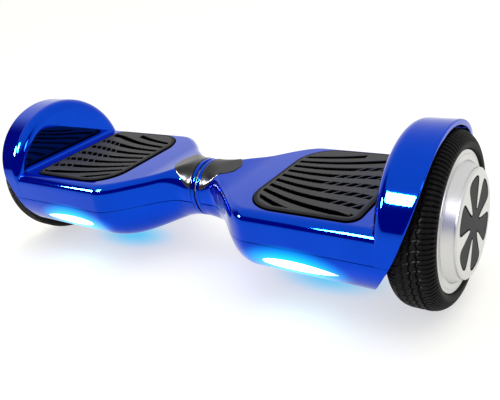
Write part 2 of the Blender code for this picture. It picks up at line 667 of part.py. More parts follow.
def build_wheel(tag, side):
    """Hub-motor wheel: tyre, hub, badge, inner cover, magnets, stator, bearings and axle."""
    hub_centre = (side * WHEEL_U, 0.0, AXLE_Z)
    half = TYRE_HALF_WIDTH
    inner_u = WHEEL_U - half
    outer_u = WHEEL_U + half
    rim_inner_u = inner_u + RIM_INSET
    flange_in = rim_inner_u + FLANGE_THICKNESS
    flange_out = RIM_FLANGE_U - FLANGE_THICKNESS
    bead = RIM_SEAT_RADIUS + GAP
    lip = RIM_FLANGE_RADIUS + GAP

    shoulder_drop = TYRE_RADIUS * 0.16
    crown = half * 0.3
    outer_shoulder = arc((WHEEL_U + crown, TYRE_RADIUS - shoulder_drop), (half - crown, shoulder_drop), 0, 90, 4)
    inner_shoulder = [(2 * WHEEL_U - along, radius) for along, radius in reversed(outer_shoulder)]
    tyre_profile = [(flange_out - GAP, bead), (flange_out - GAP, lip), (outer_u - WALL_RELIEF, lip + GAP)]
    tyre_profile += outer_shoulder + inner_shoulder
    tyre_profile += [(inner_u + WALL_RELIEF, lip + GAP), (flange_in + GAP, lip), (flange_in + GAP, bead)]
    tyre = turned_on_axle(f"tyre_{tag}", side, tyre_profile, "tyre_rubber", steps=36, half_step=True)

    seat_outer = BEARING_RADIUS + GAP + BEARING_SEAT_WALL
    face_inner = HUB_FACE_U - HUB_FACE_WALL
    seat_depth = BEARING_WIDTH + BEARING_SHOULDER
    chamfer = 0.0015
    hub_profile = [
        (HUB_FACE_U, 0.0),
        (HUB_FACE_U, HUB_FACE_RADIUS - chamfer),
        (HUB_FACE_U - chamfer, HUB_FACE_RADIUS),
        (RIM_FLANGE_U, HUB_FACE_RADIUS),
        (RIM_FLANGE_U, RIM_FLANGE_RADIUS),
        (flange_out, RIM_FLANGE_RADIUS),
        (flange_out, RIM_SEAT_RADIUS),
        (flange_in, RIM_SEAT_RADIUS),
        (flange_in, RIM_FLANGE_RADIUS),
        (rim_inner_u, RIM_FLANGE_RADIUS),
        (rim_inner_u, RIM_BORE_RADIUS),
        (RIM_FLANGE_U - HUB_FACE_WALL, RIM_BORE_RADIUS),
        (RIM_FLANGE_U - HUB_FACE_WALL, HUB_FACE_RADIUS - HUB_FACE_WALL),
        (face_inner, HUB_FACE_RADIUS - HUB_FACE_WALL),
        (face_inner, seat_outer),
        (face_inner - seat_depth, seat_outer),
        (face_inner - seat_depth, BEARING_RADIUS + GAP),
        (face_inner, BEARING_RADIUS + GAP),
        (face_inner, 0.0),
    ]
    hub = turned_on_axle(f"hub_shell_{tag}", side, hub_profile, "aluminium", steps=32, ring=False)
    badge_top = HUB_FACE_U - GAP
    place = Matrix.Translation((0, 0, AXLE_Z)) @ Matrix.Rotation(math.pi / 2, 4, "Y")
    badge_at = Matrix.Translation((side * (badge_top - BADGE_THICKNESS / 2), 0, 0)) @ place
    pocket_at = Matrix.Translation((side * (HUB_FACE_U + EMBED / 2), 0, 0)) @ place
    pocket_depth = BADGE_THICKNESS + 2 * GAP + EMBED / 2
    carve(hub, prism(f"badge_pocket_{side}", badge_outline(GAP), 2 * pocket_depth, pocket_at))
    badge = prism(f"hub_badge_{tag}", badge_outline(0.0), BADGE_THICKNESS, badge_at, "grey_paint")

    cover_outer = RIM_BORE_RADIUS - GAP
    cover_near = rim_inner_u + GAP
    cover_far = cover_near + FLANGE_THICKNESS
    seat_far = cover_near + seat_depth
    cover_profile = [
        (seat_far, BEARING_RADIUS + GAP),
        (seat_far, seat_outer),
        (cover_far, seat_outer),
        (cover_far, cover_outer),
        (cover_near, cover_outer),
        (cover_near, BEARING_RADIUS + GAP),
    ]
    cover = turned_on_axle(f"hub_inner_cover_{tag}", side, cover_profile, "aluminium", steps=24)

    motor_near = seat_far + GAP
    motor_far = face_inner - seat_depth - MOTOR_END_ROOM
    magnet_outer = RIM_BORE_RADIUS - GAP
    magnet_inner = magnet_outer - MAGNET_THICKNESS
    magnet_span = (motor_near - MAGNET_OVERHANG, motor_far + MAGNET_OVERHANG / 2)
    magnets = tube_ring(f"magnet_ring_{tag}", side, magnet_span, magnet_inner, magnet_outer, "steel", steps=24)
    tube_ring(f"stator_{tag}", side, (motor_near, motor_far), AXLE_RADIUS + GAP, magnet_inner - MOTOR_AIR_GAP,
              "copper", steps=28)
    bearing_in = tube_ring(f"bearing_inner_{tag}", side, (cover_near + GAP, cover_near + GAP + BEARING_WIDTH),
                           AXLE_RADIUS + GAP, BEARING_RADIUS, "steel", steps=20)
    bearing_far = face_inner - GAP
    bearing_out = tube_ring(f"bearing_outer_{tag}", side, (bearing_far - BEARING_WIDTH, bearing_far),
                            AXLE_RADIUS + GAP, BEARING_RADIUS, "steel", steps=20)
    cylinder(f"axle_{tag}", (side * AXLE_INNER_U, 0, AXLE_Z), (side * (face_inner - 2 * GAP), 0, AXLE_Z),
             AXLE_RADIUS, "steel", segments=20)
    for piece in (tyre, hub, cover, magnets, bearing_in, bearing_out):
        piece.data.transform(Matrix.Translation((0, 0, -WHEEL_U)))
        piece.location = hub_centre
    set_origin(badge, hub_centre)


def badge_outline(margin):
    """Six-legged star for the hub face, each leg wider towards its rounded tip."""
    reach = BADGE_REACH
    leg = (
        (0.45 * reach, -0.16 * reach),
        (0.86 * reach, -0.29 * reach),
        (0.97 * reach, -0.20 * reach),
        (reach, 0.0),
        (0.97 * reach, 0.20 * reach),
        (0.86 * reach, 0.29 * reach),
        (0.45 * reach, 0.16 * reach),
    )
    points = []
    for index in range(6):
        turn = math.radians(60 * index)
        valley = turn - math.radians(30)
        valley_reach = BADGE_VALLEY + margin
        points.append((valley_reach * math.cos(valley), valley_reach * math.sin(valley)))
        for along, across in leg:
            along += margin
            across += math.copysign(margin, across) if across else 0.0
            points.append((along * math.cos(turn) - across * math.sin(turn),
                           along * math.sin(turn) + across * math.cos(turn)))
    return points


def build_screws(tag, side):
    """Countersunk screws that hold the bottom cover to the chassis posts."""
    for index, (u, y) in enumerate(POSTS, start=1):
        head_low = BELLY_Z + GAP / 3
        head_high = BELLY_Z + SHELL_WALL / 2 - GAP
        top = head_low + SCREW_LENGTH
        profile = [(top, 0.0), (top, SCREW_RADIUS), (head_high, SCREW_RADIUS), (head_high, SCREW_HEAD_RADIUS),
                   (head_low, SCREW_HEAD_RADIUS), (head_low, 0.0)]
        turned(f"cover_screw_{tag}_{index}", profile, "steel", (side * u, y, 0.0), (0, 0, 1), steps=12,
               ring=False)


def build_boards(tag, side):
    """Balance board on the chassis plate, and the motor's lead."""
    middle = (PAD_INNER_U + PAD_OUTER_U) / 2
    lift = CHASSIS_TOP_Z - AXLE_Z + GAP
    length, half = 0.040, 0.038
    side_box(f"balance_board_{tag}", side, (middle - length / 2, middle + length / 2), (-half, half),
             (lift, lift + BOARD_THICKNESS), "circuit_board")
    turn_u = PACK_END_U + 0.0055
    route = [(AXLE_INNER_U - 0.0025, 0.0, 0.0), (turn_u + 0.003, 0.002, -0.001), (turn_u, 0.006, -0.004),
             (turn_u, 0.014, -0.007), (turn_u, 0.030, -0.010), (turn_u, 0.044, -0.012)]
    wire(f"motor_lead_{tag}", [(side * u, y, AXLE_Z + z) for u, y, z in route], LEAD_RADIUS, "black_plastic")


# Pieces that the board has once

def build_pivot():
    """Hollow centre shaft, its bush and clip in the right half, the gap's seal and the harness."""
    near, far = SLEEVE_START_U, SLEEVE_END_U
    tube_ring("pivot_shaft", 1, (-SHAFT_END_U, SHAFT_END_U), SHAFT_BORE, SHAFT_RADIUS, "steel", steps=24)
    bush_bore = SHAFT_RADIUS + GAP
    tube_ring("pivot_bush", 1, (near, far - EMBED), bush_bore, bush_bore + BUSH_WALL, "copper", steps=24)
    tube_ring("pivot_clip", 1, (far + GAP, far + GAP + CLIP_THICKNESS), SHAFT_RADIUS + GAP, CLIP_RADIUS,
              "steel", steps=24)
    half = CENTRE_GAP / 2 - GAP
    tube_ring("waist_seal", 1, (-half, half), SHAFT_RADIUS + GAP, WAIST_RADIUS - SEAL_DEPTH, "black_plastic",
              steps=24)
    cylinder("pivot_harness", (-HARNESS_END_U, 0, AXLE_Z), (HARNESS_END_U, 0, AXLE_Z), HARNESS_RADIUS,
             "black_plastic", segments=12)


def build_electronics():
    """Battery pack in the left half; control board and its heat plate in the right half."""
    half = PACK_HALF_WIDTH
    room = 0.002
    top = CHASSIS_BOTTOM_Z - AXLE_Z - room
    side_box("battery_pack", -1, (PACK_START_U, PACK_END_U), (-half, half), (top - PACK_HEIGHT, top),
             "pack_wrap", bevel=0.003)
    plate = 0.004
    side_box("heat_plate", 1, (PACK_START_U, PACK_END_U), (-half, half), (top - plate, top), "aluminium")
    board = top - plate - GAP
    side_box("control_board", 1, (PACK_START_U, PACK_END_U), (-half + room, half - room),
             (board - BOARD_THICKNESS, board), "circuit_board")


def build_controls():
    """Power button in its housing, charging socket and the socket's hinged cap."""
    z = AXLE_Z - CONTROL_DROP
    rear = (0, 1, 0)
    wall = CONTROL_WALL
    back = HOUSING_FACE_Y - HOUSING_DEPTH
    bore = BUTTON_RADIUS + GAP
    housing = [(HOUSING_FACE_Y, bore), (HOUSING_FACE_Y, HOUSING_RADIUS), (back, HOUSING_RADIUS), (back, 0.0)]
    housing = [(back + wall, 0.0), (back + wall, bore)] + housing
    turned("button_housing", housing, "black_plastic", (BUTTON_U, 0, z), rear, steps=24, ring=False)
    button_back = back + wall + BUTTON_TRAVEL + GAP
    button = cylinder("power_button", (BUTTON_U, button_back, z), (BUTTON_U, HOUSING_FACE_Y + BUTTON_PROUD, z),
                      BUTTON_RADIUS, "steel", segments=24)
    set_origin(button, (BUTTON_U, button_back, z))

    floor = SOCKET_FACE_Y - SOCKET_DEPTH
    socket = [(floor + wall, 0.0), (floor + wall, SOCKET_BORE), (SOCKET_FACE_Y, SOCKET_BORE),
              (SOCKET_FACE_Y, HOUSING_RADIUS), (floor, HOUSING_RADIUS), (floor, 0.0)]
    turned("charge_socket", socket, "black_plastic", (SOCKET_U, 0, z), rear, steps=24, ring=False)
    face = SOCKET_FACE_Y + GAP
    hinge_z = z + CAP_RADIUS + EMBED
    cap = cylinder("charge_cap", (SOCKET_U, face, z), (SOCKET_U, face + CAP_THICKNESS, z), CAP_RADIUS,
                   "black_plastic", segments=24)
    half = CAP_EAR_HALF_WIDTH
    ear = box("cap_ear", (SOCKET_U - half, face, z), (SOCKET_U + half, face + CAP_THICKNESS, hinge_z + GAP))
    carve(cap, ear, "UNION")
    set_origin(cap, (SOCKET_U, face + CAP_THICKNESS / 2, hinge_z))


clear_scene()
PARTS = new_collection("self_balancing_board")
CUTTERS = new_collection("cutters")
SHARED = {}
for side_tag, side_sign in SIDES:
    build_shared_cutters(side_sign)
    build_covers(side_tag, side_sign)
    build_foot_pad(side_tag, side_sign)
    build_trims_and_lamps(side_tag, side_sign)
    build_chassis(side_tag, side_sign)
    build_wheel(side_tag, side_sign)
    build_screws(side_tag, side_sign)
    build_boards(side_tag, side_sign)
build_pivot()
build_electronics()
build_controls()
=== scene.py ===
"""Looks of a self-balancing two-wheeled board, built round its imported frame.

Frame: X along the axle line, -Y the front with the two lamps, +Z up, ground at Z = 0. Along the board, u is
the distance from the centre plane. Heights called z in a section are measured from the axle line. Lengths
are in millimetres in the size fields, and become metres when a mesh is made.
"""

import enum
import logging
import math
from collections.abc import Callable, Sequence
from dataclasses import dataclass, field
from typing import Any

import bmesh
import bpy
from mathutils import Matrix, Vector


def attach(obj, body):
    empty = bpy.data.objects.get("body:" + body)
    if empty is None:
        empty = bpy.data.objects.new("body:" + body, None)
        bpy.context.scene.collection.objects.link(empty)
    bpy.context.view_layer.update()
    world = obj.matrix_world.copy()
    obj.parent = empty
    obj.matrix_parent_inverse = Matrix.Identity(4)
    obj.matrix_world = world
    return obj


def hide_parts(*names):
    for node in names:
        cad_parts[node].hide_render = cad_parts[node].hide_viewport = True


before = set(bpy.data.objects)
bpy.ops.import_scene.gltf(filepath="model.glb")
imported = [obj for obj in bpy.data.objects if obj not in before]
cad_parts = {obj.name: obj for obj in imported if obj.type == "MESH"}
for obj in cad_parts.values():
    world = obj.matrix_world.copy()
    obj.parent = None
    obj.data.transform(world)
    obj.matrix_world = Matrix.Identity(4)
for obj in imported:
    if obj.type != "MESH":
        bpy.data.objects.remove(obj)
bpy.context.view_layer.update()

LOG = logging.getLogger("board")
MM = 0.001
AXLE_HEIGHT = 82.5

Point = tuple[float, float, float]
Pair = tuple[float, float]


class Side(enum.Enum):
    """A half of the board; its value is the sign of X there."""

    LEFT = -1
    RIGHT = 1

    @property
    def tag(self) -> str:
        """The half's name inside node and body names."""
        return self.name.lower()

    def point(self, u: float, y: float, z: float) -> Point:
        """A point of this half in metres, from u, y and the height above the axle line."""
        return self.value * u * MM, y * MM, (AXLE_HEIGHT + z) * MM


# Numbers

def ease(value: float, start: float, end: float) -> float:
    """Smooth step.

    Args:
        value: where to look.
        start: where the step begins.
        end: where it ends.

    Returns:
        0 up to start, 1 from end on, and a smooth rise between.
    """
    t = min(max((value - start) / (end - start), 0.0), 1.0)
    return t * t * (3.0 - 2.0 * t)


def blend(first: float, second: float, t: float) -> float:
    """Value between two others; t is 0 at the first and 1 at the second."""
    return first + (second - first) * t


def arc(centre: Pair, radii: Pair, start: float, end: float, steps: int) -> list[Pair]:
    """Points on an elliptical arc.

    Args:
        centre: middle of the ellipse.
        radii: its half widths.
        start: first angle in degrees.
        end: last angle in degrees.
        steps: number of steps between them.

    Returns:
        The points, both ends included.
    """
    angles = [math.radians(blend(start, end, i / steps)) for i in range(steps + 1)]
    return [(centre[0] + radii[0] * math.cos(a), centre[1] + radii[1] * math.sin(a)) for a in angles]


def turned(points: Sequence[Pair], angle: float) -> list[Pair]:
    """Points turned about the origin by an angle in radians."""
    cos, sin = math.cos(angle), math.sin(angle)
    return [(a * cos - b * sin, a * sin + b * cos) for a, b in points]


def crowded(count: int, power: float = 0.6) -> list[float]:
    """Positions from -1 to 1 that crowd towards both ends.

    Args:
        count: number of positions.
        power: 1 spaces them evenly, less crowds them.

    Returns:
        The positions in rising order.
    """
    even = [2.0 * i / (count - 1) - 1.0 for i in range(count)]
    return [math.copysign(abs(t) ** power, t) if t else 0.0 for t in even]


# Meshes

def in_scene(name: str, data: Any) -> bpy.types.Object:
    """A new object of the scene.

    Args:
        name: the object's name.
        data: the mesh, light or camera that it carries.

    Returns:
        The new object.
    """
    obj = bpy.data.objects.new(name, data)
    bpy.context.scene.collection.objects.link(obj)
    return obj


def to_mesh(name: str, bm: bmesh.types.BMesh, crease: float = 32.0) -> bpy.types.Object:
    """Turn a bmesh into a smooth-shaded object with outward faces.

    Args:
        name: the object's name.
        bm: the shape, which is freed.
        crease: angle in degrees past which an edge stays sharp.

    Returns:
        The new object.
    """
    bmesh.ops.remove_doubles(bm, verts=bm.verts, dist=1e-6)
    bmesh.ops.recalc_face_normals(bm, faces=bm.faces)
    mesh = bpy.data.meshes.new(name)
    bm.to_mesh(mesh)
    bm.free()
    mesh.shade_smooth()
    mesh.set_sharp_from_angle(angle=math.radians(crease))
    return in_scene(name, mesh)


def add_rings(bm: bmesh.types.BMesh, rings: Sequence[Sequence[Point]], paired_ends: bool = False,
              closed_path: bool = False) -> None:
    """Skin a list of closed rings into a closed shell.

    Args:
        bm: where the faces go.
        rings: rings with equal counts, in metres.
        paired_ends: close each end with a strip between the ring's outer and inner runs.
        closed_path: join the last ring to the first and leave out the ends.
    """
    verts = [[bm.verts.new(point) for point in ring] for ring in rings]
    count = len(verts[0])
    followers = verts[1:] + verts[:1] if closed_path else verts[1:]
    for ring, following in zip(verts, followers):
        for i in range(count):
            bm.faces.new((ring[i - 1], ring[i], following[i], following[i - 1]))
    if closed_path:
        return
    for ring in (verts[0], verts[-1]):
        if paired_ends:
            for i in range(count // 2 - 1):
                bm.faces.new((ring[i], ring[i + 1], ring[count - 2 - i], ring[count - 1 - i]))
        else:
            bm.faces.new(ring)


def slab(name: str, front: Sequence[Sequence[Point]], back: Sequence[Sequence[Point]],
         crease: float = 32.0) -> bpy.types.Object:
    """A closed slab between two point grids of the same shape.

    Args:
        name: the object's name.
        front: rows of points of the front face.
        back: rows of points of the back face.
        crease: angle in degrees past which an edge stays sharp.

    Returns:
        The new object.
    """
    bm = bmesh.new()
    rows, cols = len(front), len(front[0])
    sheets = [[[bm.verts.new(point) for point in row] for row in sheet] for sheet in (front, back)]
    for sheet in sheets:
        for r in range(rows - 1):
            for c in range(cols - 1):
                bm.faces.new((sheet[r][c], sheet[r][c + 1], sheet[r + 1][c + 1], sheet[r + 1][c]))
    rim = [(0, c) for c in range(cols)] + [(r, cols - 1) for r in range(1, rows)]
    rim += [(rows - 1, c) for c in range(cols - 2, -1, -1)] + [(r, 0) for r in range(rows - 2, 0, -1)]
    for (r0, c0), (r1, c1) in zip(rim, rim[1:] + rim[:1]):
        bm.faces.new((sheets[0][r0][c0], sheets[0][r1][c1], sheets[1][r1][c1], sheets[1][r0][c0]))
    return to_mesh(name, bm, crease)


def lathe(name: str, profile: Sequence[Pair], place: Matrix, steps: int) -> bpy.types.Object:
    """Turn a profile about an axis.

    Args:
        name: the object's name.
        profile: (along, radius) in millimetres; a closed loop, or a run that starts and ends on the axis.
        place: takes the turned shape, whose axis is local X, to its place in metres.
        steps: number of steps round the axis.

    Returns:
        The new object.
    """
    rings = []
    for i in range(steps):
        angle = 2 * math.pi * i / steps
        across, up = math.cos(angle) * MM, math.sin(angle) * MM
        rings.append([place @ Vector((along * MM, r * across, r * up)) for along, r in profile])
    bm = bmesh.new()
    add_rings(bm, rings, closed_path=True)
    return to_mesh(name, bm)


def baked(obj: bpy.types.Object) -> bpy.types.Object:
    """Turn an object's modifiers into its mesh and remove them.

    Args:
        obj: the object, changed in place.

    Returns:
        The same object.
    """
    evaluated = obj.evaluated_get(bpy.context.evaluated_depsgraph_get())
    mesh = bpy.data.meshes.new_from_object(evaluated)
    obj.modifiers.clear()
    obj.data = mesh
    return obj


def cut(obj: bpy.types.Object, tool: bpy.types.Object) -> bpy.types.Object:
    """Take a tool's solid out of an object, and remove the tool.

    Args:
        obj: the object that is cut.
        tool: the closed solid that cuts it.

    Returns:
        The same object, cut.
    """
    modifier = obj.modifiers.new("cut", "BOOLEAN")
    modifier.operation = "DIFFERENCE"
    modifier.solver = "EXACT"
    modifier.object = tool
    baked(obj)
    bpy.data.objects.remove(tool, do_unlink=True)
    return obj


def even_normals(obj: bpy.types.Object, crease: float = 32.0) -> bpy.types.Object:
    """Weight the normals by face area, so that flats stay flat beside their rounded edges.

    Args:
        obj: the object, changed in place.
        crease: angle in degrees past which an edge stays sharp.

    Returns:
        The same object.
    """
    obj.data.shade_smooth()
    obj.data.set_sharp_from_angle(angle=math.radians(crease))
    modifier = obj.modifiers.new("normals", "WEIGHTED_NORMAL")
    modifier.keep_sharp = True
    modifier.weight = 80
    return baked(obj)


def prism(name: str, outline: Sequence[Pair], low: float, high: float, place: Matrix) -> bpy.types.Object:
    """A closed prism from an outline.

    Args:
        name: the object's name.
        outline: points in the local XY plane, in millimetres.
        low: its lower height along local Z, in millimetres.
        high: its upper height.
        place: takes it to its place in metres.

    Returns:
        The new object.
    """
    bm = bmesh.new()
    rings = [[place @ Vector((x * MM, y * MM, z * MM)) for x, y in outline] for z in (low, high)]
    add_rings(bm, rings)
    return to_mesh(name, bm)


def on_axle(side: Side, u: float = 0.0) -> Matrix:
    """Place for a lathe on the axle line whose profile counts u outwards from a given u."""
    turn = Matrix.Diagonal((side.value, 1.0, 1.0, 1.0))
    return Matrix.Translation((side.value * u * MM, 0.0, AXLE_HEIGHT * MM)) @ turn


# Geometry Nodes

def add_node(tree: bpy.types.NodeTree, kind: str, settings: dict[str, Any] | None = None,
             values: dict[Any, Any] | None = None, links: dict[Any, Any] | None = None) -> bpy.types.Node:
    """Add a node with its settings, socket values and incoming links.

    Args:
        tree: the tree that gets the node.
        kind: the node's type name.
        settings: attributes to set.
        values: socket values by name or index.
        links: output sockets to link, by the input's name or index.

    Returns:
        The new node.
    """
    node = tree.nodes.new(kind)
    for key, value in (settings or {}).items():
        setattr(node, key, value)
    for key, value in (values or {}).items():
        node.inputs[key].default_value = value
    for key, socket in (links or {}).items():
        tree.links.new(socket, node.inputs[key])
    return node


class Repeater:
    """A Geometry Nodes tree that repeats one shape, either round the axle line or on given points."""

    def __init__(self, name: str, inputs: dict[str, str]) -> None:
        """Start the tree with its named inputs.

        Args:
            name: the tree's name.
            inputs: socket type by input name.
        """
        self.tree = bpy.data.node_groups.new(name, "GeometryNodeTree")
        interface = self.tree.interface
        interface.new_socket("Geometry", in_out="INPUT", socket_type="NodeSocketGeometry")
        for label, kind in inputs.items():
            interface.new_socket(label, in_out="INPUT", socket_type=kind)
        interface.new_socket("Geometry", in_out="OUTPUT", socket_type="NodeSocketGeometry")
        self.source = self.tree.nodes.new("NodeGroupInput")

    def close(self, geometry: Any) -> None:
        """Realize the instances, set the material and end the tree.

        Args:
            geometry: the socket that gives the instances.
        """
        real = add_node(self.tree, "GeometryNodeRealizeInstances", links={0: geometry})
        merged = add_node(self.tree, "GeometryNodeMergeByDistance", values={"Distance": 1e-5},
                          links={"Geometry": real.outputs[0]})
        dressed = add_node(self.tree, "GeometryNodeSetMaterial",
                           links={"Geometry": merged.outputs[0], "Material": self.source.outputs["Material"]})
        add_node(self.tree, "NodeGroupOutput", links={0: dressed.outputs[0]})

    def run(self, obj: bpy.types.Object, values: dict[str, Any]) -> bpy.types.Object:
        """Run the tree on an object and keep its result as a plain mesh.

        Args:
            obj: the object that carries the tree.
            values: input values by name.

        Returns:
            The same object, with the result as its mesh.
        """
        modifier = obj.modifiers.new(self.tree.name, "NODES")
        modifier.node_group = self.tree
        for item in self.tree.interface.items_tree:
            if item.in_out == "INPUT" and item.name in values:
                modifier[item.identifier] = values[item.name]
        return baked(obj)


def round_axle_tree() -> Repeater:
    """A tree that turns copies of a segment round the local X axis.

    Returns:
        The tree, with inputs Segment, Count and Material.
    """
    repeater = Repeater("round_the_axle", {"Segment": "NodeSocketObject", "Count": "NodeSocketInt",
                                           "Material": "NodeSocketMaterial"})
    tree, source = repeater.tree, repeater.source
    points = add_node(tree, "GeometryNodePoints", links={"Count": source.outputs["Count"]})
    index = add_node(tree, "GeometryNodeInputIndex")
    share = add_node(tree, "ShaderNodeMath", {"operation": "DIVIDE"},
                     links={0: index.outputs[0], 1: source.outputs["Count"]})
    angle = add_node(tree, "ShaderNodeMath", {"operation": "MULTIPLY"}, {1: 2 * math.pi},
                     {0: share.outputs[0]})
    turn = add_node(tree, "ShaderNodeCombineXYZ", links={"X": angle.outputs[0]})
    segment = add_node(tree, "GeometryNodeObjectInfo", links={"Object": source.outputs["Segment"]})
    copies = add_node(tree, "GeometryNodeInstanceOnPoints",
                      links={"Points": points.outputs[0], "Instance": segment.outputs["Geometry"],
                             "Rotation": turn.outputs[0]})
    repeater.close(copies.outputs[0])
    return repeater


def on_points_tree() -> Repeater:
    """A tree that sets a copy of a part on each vertex of the carrying mesh.

    Returns:
        The tree, with inputs Part, Size and Material.
    """
    repeater = Repeater("on_points", {"Part": "NodeSocketObject", "Size": "NodeSocketFloat",
                                      "Material": "NodeSocketMaterial"})
    tree, source = repeater.tree, repeater.source
    points = add_node(tree, "GeometryNodeMeshToPoints", links={"Mesh": source.outputs["Geometry"]})
    part = add_node(tree, "GeometryNodeObjectInfo", links={"Object": source.outputs["Part"]})
    copies = add_node(tree, "GeometryNodeInstanceOnPoints",
                      links={"Points": points.outputs[0], "Instance": part.outputs["Geometry"],
                             "Scale": source.outputs["Size"]})
    repeater.close(copies.outputs[0])
    return repeater


# Finishes

def linear(hex_colour: str) -> tuple[float, float, float, float]:
    """Linear colour of an sRGB hex value.

    Args:
        hex_colour: six hex digits.

    Returns:
        Red, green, blue and alpha, linear.
    """
    parts = [int(hex_colour[i:i + 2], 16) / 255 for i in (0, 2, 4)]
    red, green, blue = [c / 12.92 if c <= 0.04045 else ((c + 0.055) / 1.055) ** 2.4 for c in parts]
    return red, green, blue, 1.0


def lamp_distance(tree: bpy.types.NodeTree, coords: Any, centre: Point, reach: Point) -> Any:
    """Distance to the nearer of two mirrored lamps, as a share of a reach along each axis.

    Args:
        tree: the material's tree.
        coords: the coordinate socket.
        centre: the lamp's place on the right half, in millimetres.
        reach: the reach along each axis in millimetres; 0 leaves an axis out.

    Returns:
        The socket with the distance: 0 at the lamp, 1 at its reach.
    """
    mirrored = add_node(tree, "ShaderNodeVectorMath", {"operation": "ABSOLUTE"}, links={0: coords})
    split = add_node(tree, "ShaderNodeSeparateXYZ", links={0: coords})
    folded = add_node(tree, "ShaderNodeSeparateXYZ", links={0: mirrored.outputs[0]})
    place = add_node(tree, "ShaderNodeCombineXYZ",
                     links={"X": folded.outputs["X"], "Y": split.outputs["Y"], "Z": split.outputs["Z"]})
    away = add_node(tree, "ShaderNodeVectorMath", {"operation": "SUBTRACT"}, {1: [c * MM for c in centre]},
                    {0: place.outputs[0]})
    share = add_node(tree, "ShaderNodeVectorMath", {"operation": "MULTIPLY"},
                     {1: [1 / (r * MM) if r else 0.0 for r in reach]}, {0: away.outputs[0]})
    return add_node(tree, "ShaderNodeVectorMath", {"operation": "LENGTH"},
                    links={0: share.outputs[0]}).outputs["Value"]


@dataclass(frozen=True)
class Finish:
    """A finish: colour with a fine mottle, and a grain that both roughness and bump follow."""

    name: str
    colour: str
    roughness: float
    second_colour: str = ""
    metallic: float = 0.0
    grain: float = 0.6              # size of one grain in millimetres
    grain_height: float = 0.02      # its height in millimetres
    mottle: float = 6.0             # size of a colour patch in millimetres
    mottle_band: Pair = (0.35, 0.65)
    detail: float = 3.0             # octaves of the grain and the mottle
    roughness_spread: float = 0.08
    coat: float = 0.0
    coat_roughness: float = 0.03
    specular: float = 0.5

    def material(self) -> bpy.types.Material:
        """The finish's material, made once.

        Returns:
            The material.
        """
        if self.name in bpy.data.materials:
            return bpy.data.materials[self.name]
        material = bpy.data.materials.new(self.name)
        material.use_nodes = True
        tree = material.node_tree
        shader = tree.nodes["Principled BSDF"]
        shader.inputs["Metallic"].default_value = self.metallic
        shader.inputs["Coat Weight"].default_value = self.coat
        shader.inputs["Coat Roughness"].default_value = self.coat_roughness
        shader.inputs["Specular IOR Level"].default_value = self.specular
        coords = add_node(tree, "ShaderNodeTexCoord").outputs["Object"]
        tree.links.new(self.colour_socket(tree, coords), shader.inputs["Base Color"])
        grain = add_node(tree, "ShaderNodeTexNoise",
                         values={"Scale": 1.0 / (self.grain * MM), "Detail": self.detail},
                         links={"Vector": coords}).outputs["Fac"]
        half = self.roughness_spread / 2
        spread = add_node(tree, "ShaderNodeMapRange",
                          values={"To Min": self.roughness - half, "To Max": self.roughness + half},
                          links={"Value": grain})
        tree.links.new(spread.outputs[0], shader.inputs["Roughness"])
        bump = add_node(tree, "ShaderNodeBump", values={"Strength": 1.0, "Distance": self.grain_height * MM},
                        links={"Height": self.height_socket(tree, coords, grain)})
        tree.links.new(bump.outputs["Normal"], shader.inputs["Normal"])
        self.dress(tree, shader, coords)
        return material

    def colour_socket(self, tree: bpy.types.NodeTree, coords: Any) -> Any:
        """The base colour, mottled between the two colours.

        Args:
            tree: the material's tree.
            coords: the coordinate socket.

        Returns:
            The socket with the colour.
        """
        patches = add_node(tree, "ShaderNodeTexNoise",
                           values={"Scale": 1.0 / (self.mottle * MM), "Detail": self.detail},
                           links={"Vector": coords})
        ramp = add_node(tree, "ShaderNodeValToRGB", links={"Fac": patches.outputs["Fac"]})
        colours = (self.colour, self.second_colour or self.colour)
        for element, position, colour in zip(ramp.color_ramp.elements, self.mottle_band, colours):
            element.position = position
            element.color = linear(colour)
        return ramp.outputs["Color"]

    def height_socket(self, tree: bpy.types.NodeTree, coords: Any, grain: Any) -> Any:
        """The bump's height; the plain finish uses its grain."""
        return grain

    def dress(self, tree: bpy.types.NodeTree, shader: bpy.types.Node, coords: Any) -> None:
        """Add what only this finish has; the plain finish adds nothing."""


@dataclass(frozen=True)
class LacquerChrome(Finish):
    """Vacuum-metallised ABS under blue lacquer: a dark blue mirror, with a painted glow of lamp light round
    each lens, made as the lacquer's own emission.
    """

    # colour of the lamp light painted round each lens as emission of the lacquer
    glow: str = "00C4FF"
    glow_strength: float = 1.5
    lamp_u: float = 152.0
    lamp_y: float = -82.0
    lamp_drop: float = 26.0
    reach: Point = (66.0, 32.0, 26.0)
    full_at: float = 0.25           # share of the reach within which the painted glow is full

    def dress(self, tree: bpy.types.NodeTree, shader: bpy.types.Node, coords: Any) -> None:
        """Paint the light that the lit lens throws on the lacquer round it, as emission that fades away from
        the lens.

        Args:
            tree: the material's tree.
            shader: its Principled shader.
            coords: the coordinate socket.
        """
        centre = (self.lamp_u, self.lamp_y, AXLE_HEIGHT - self.lamp_drop)
        distance = lamp_distance(tree, coords, centre, self.reach)
        # painted glow: the lacquer's emission is full near the lens and fades to nothing at the reach
        near = add_node(tree, "ShaderNodeMapRange", {"interpolation_type": "SMOOTHSTEP"},
                        {"From Min": 1.0, "From Max": self.full_at, "To Max": self.glow_strength},
                        {"Value": distance})
        shader.inputs["Emission Color"].default_value = linear(self.glow)
        tree.links.new(near.outputs[0], shader.inputs["Emission Strength"])


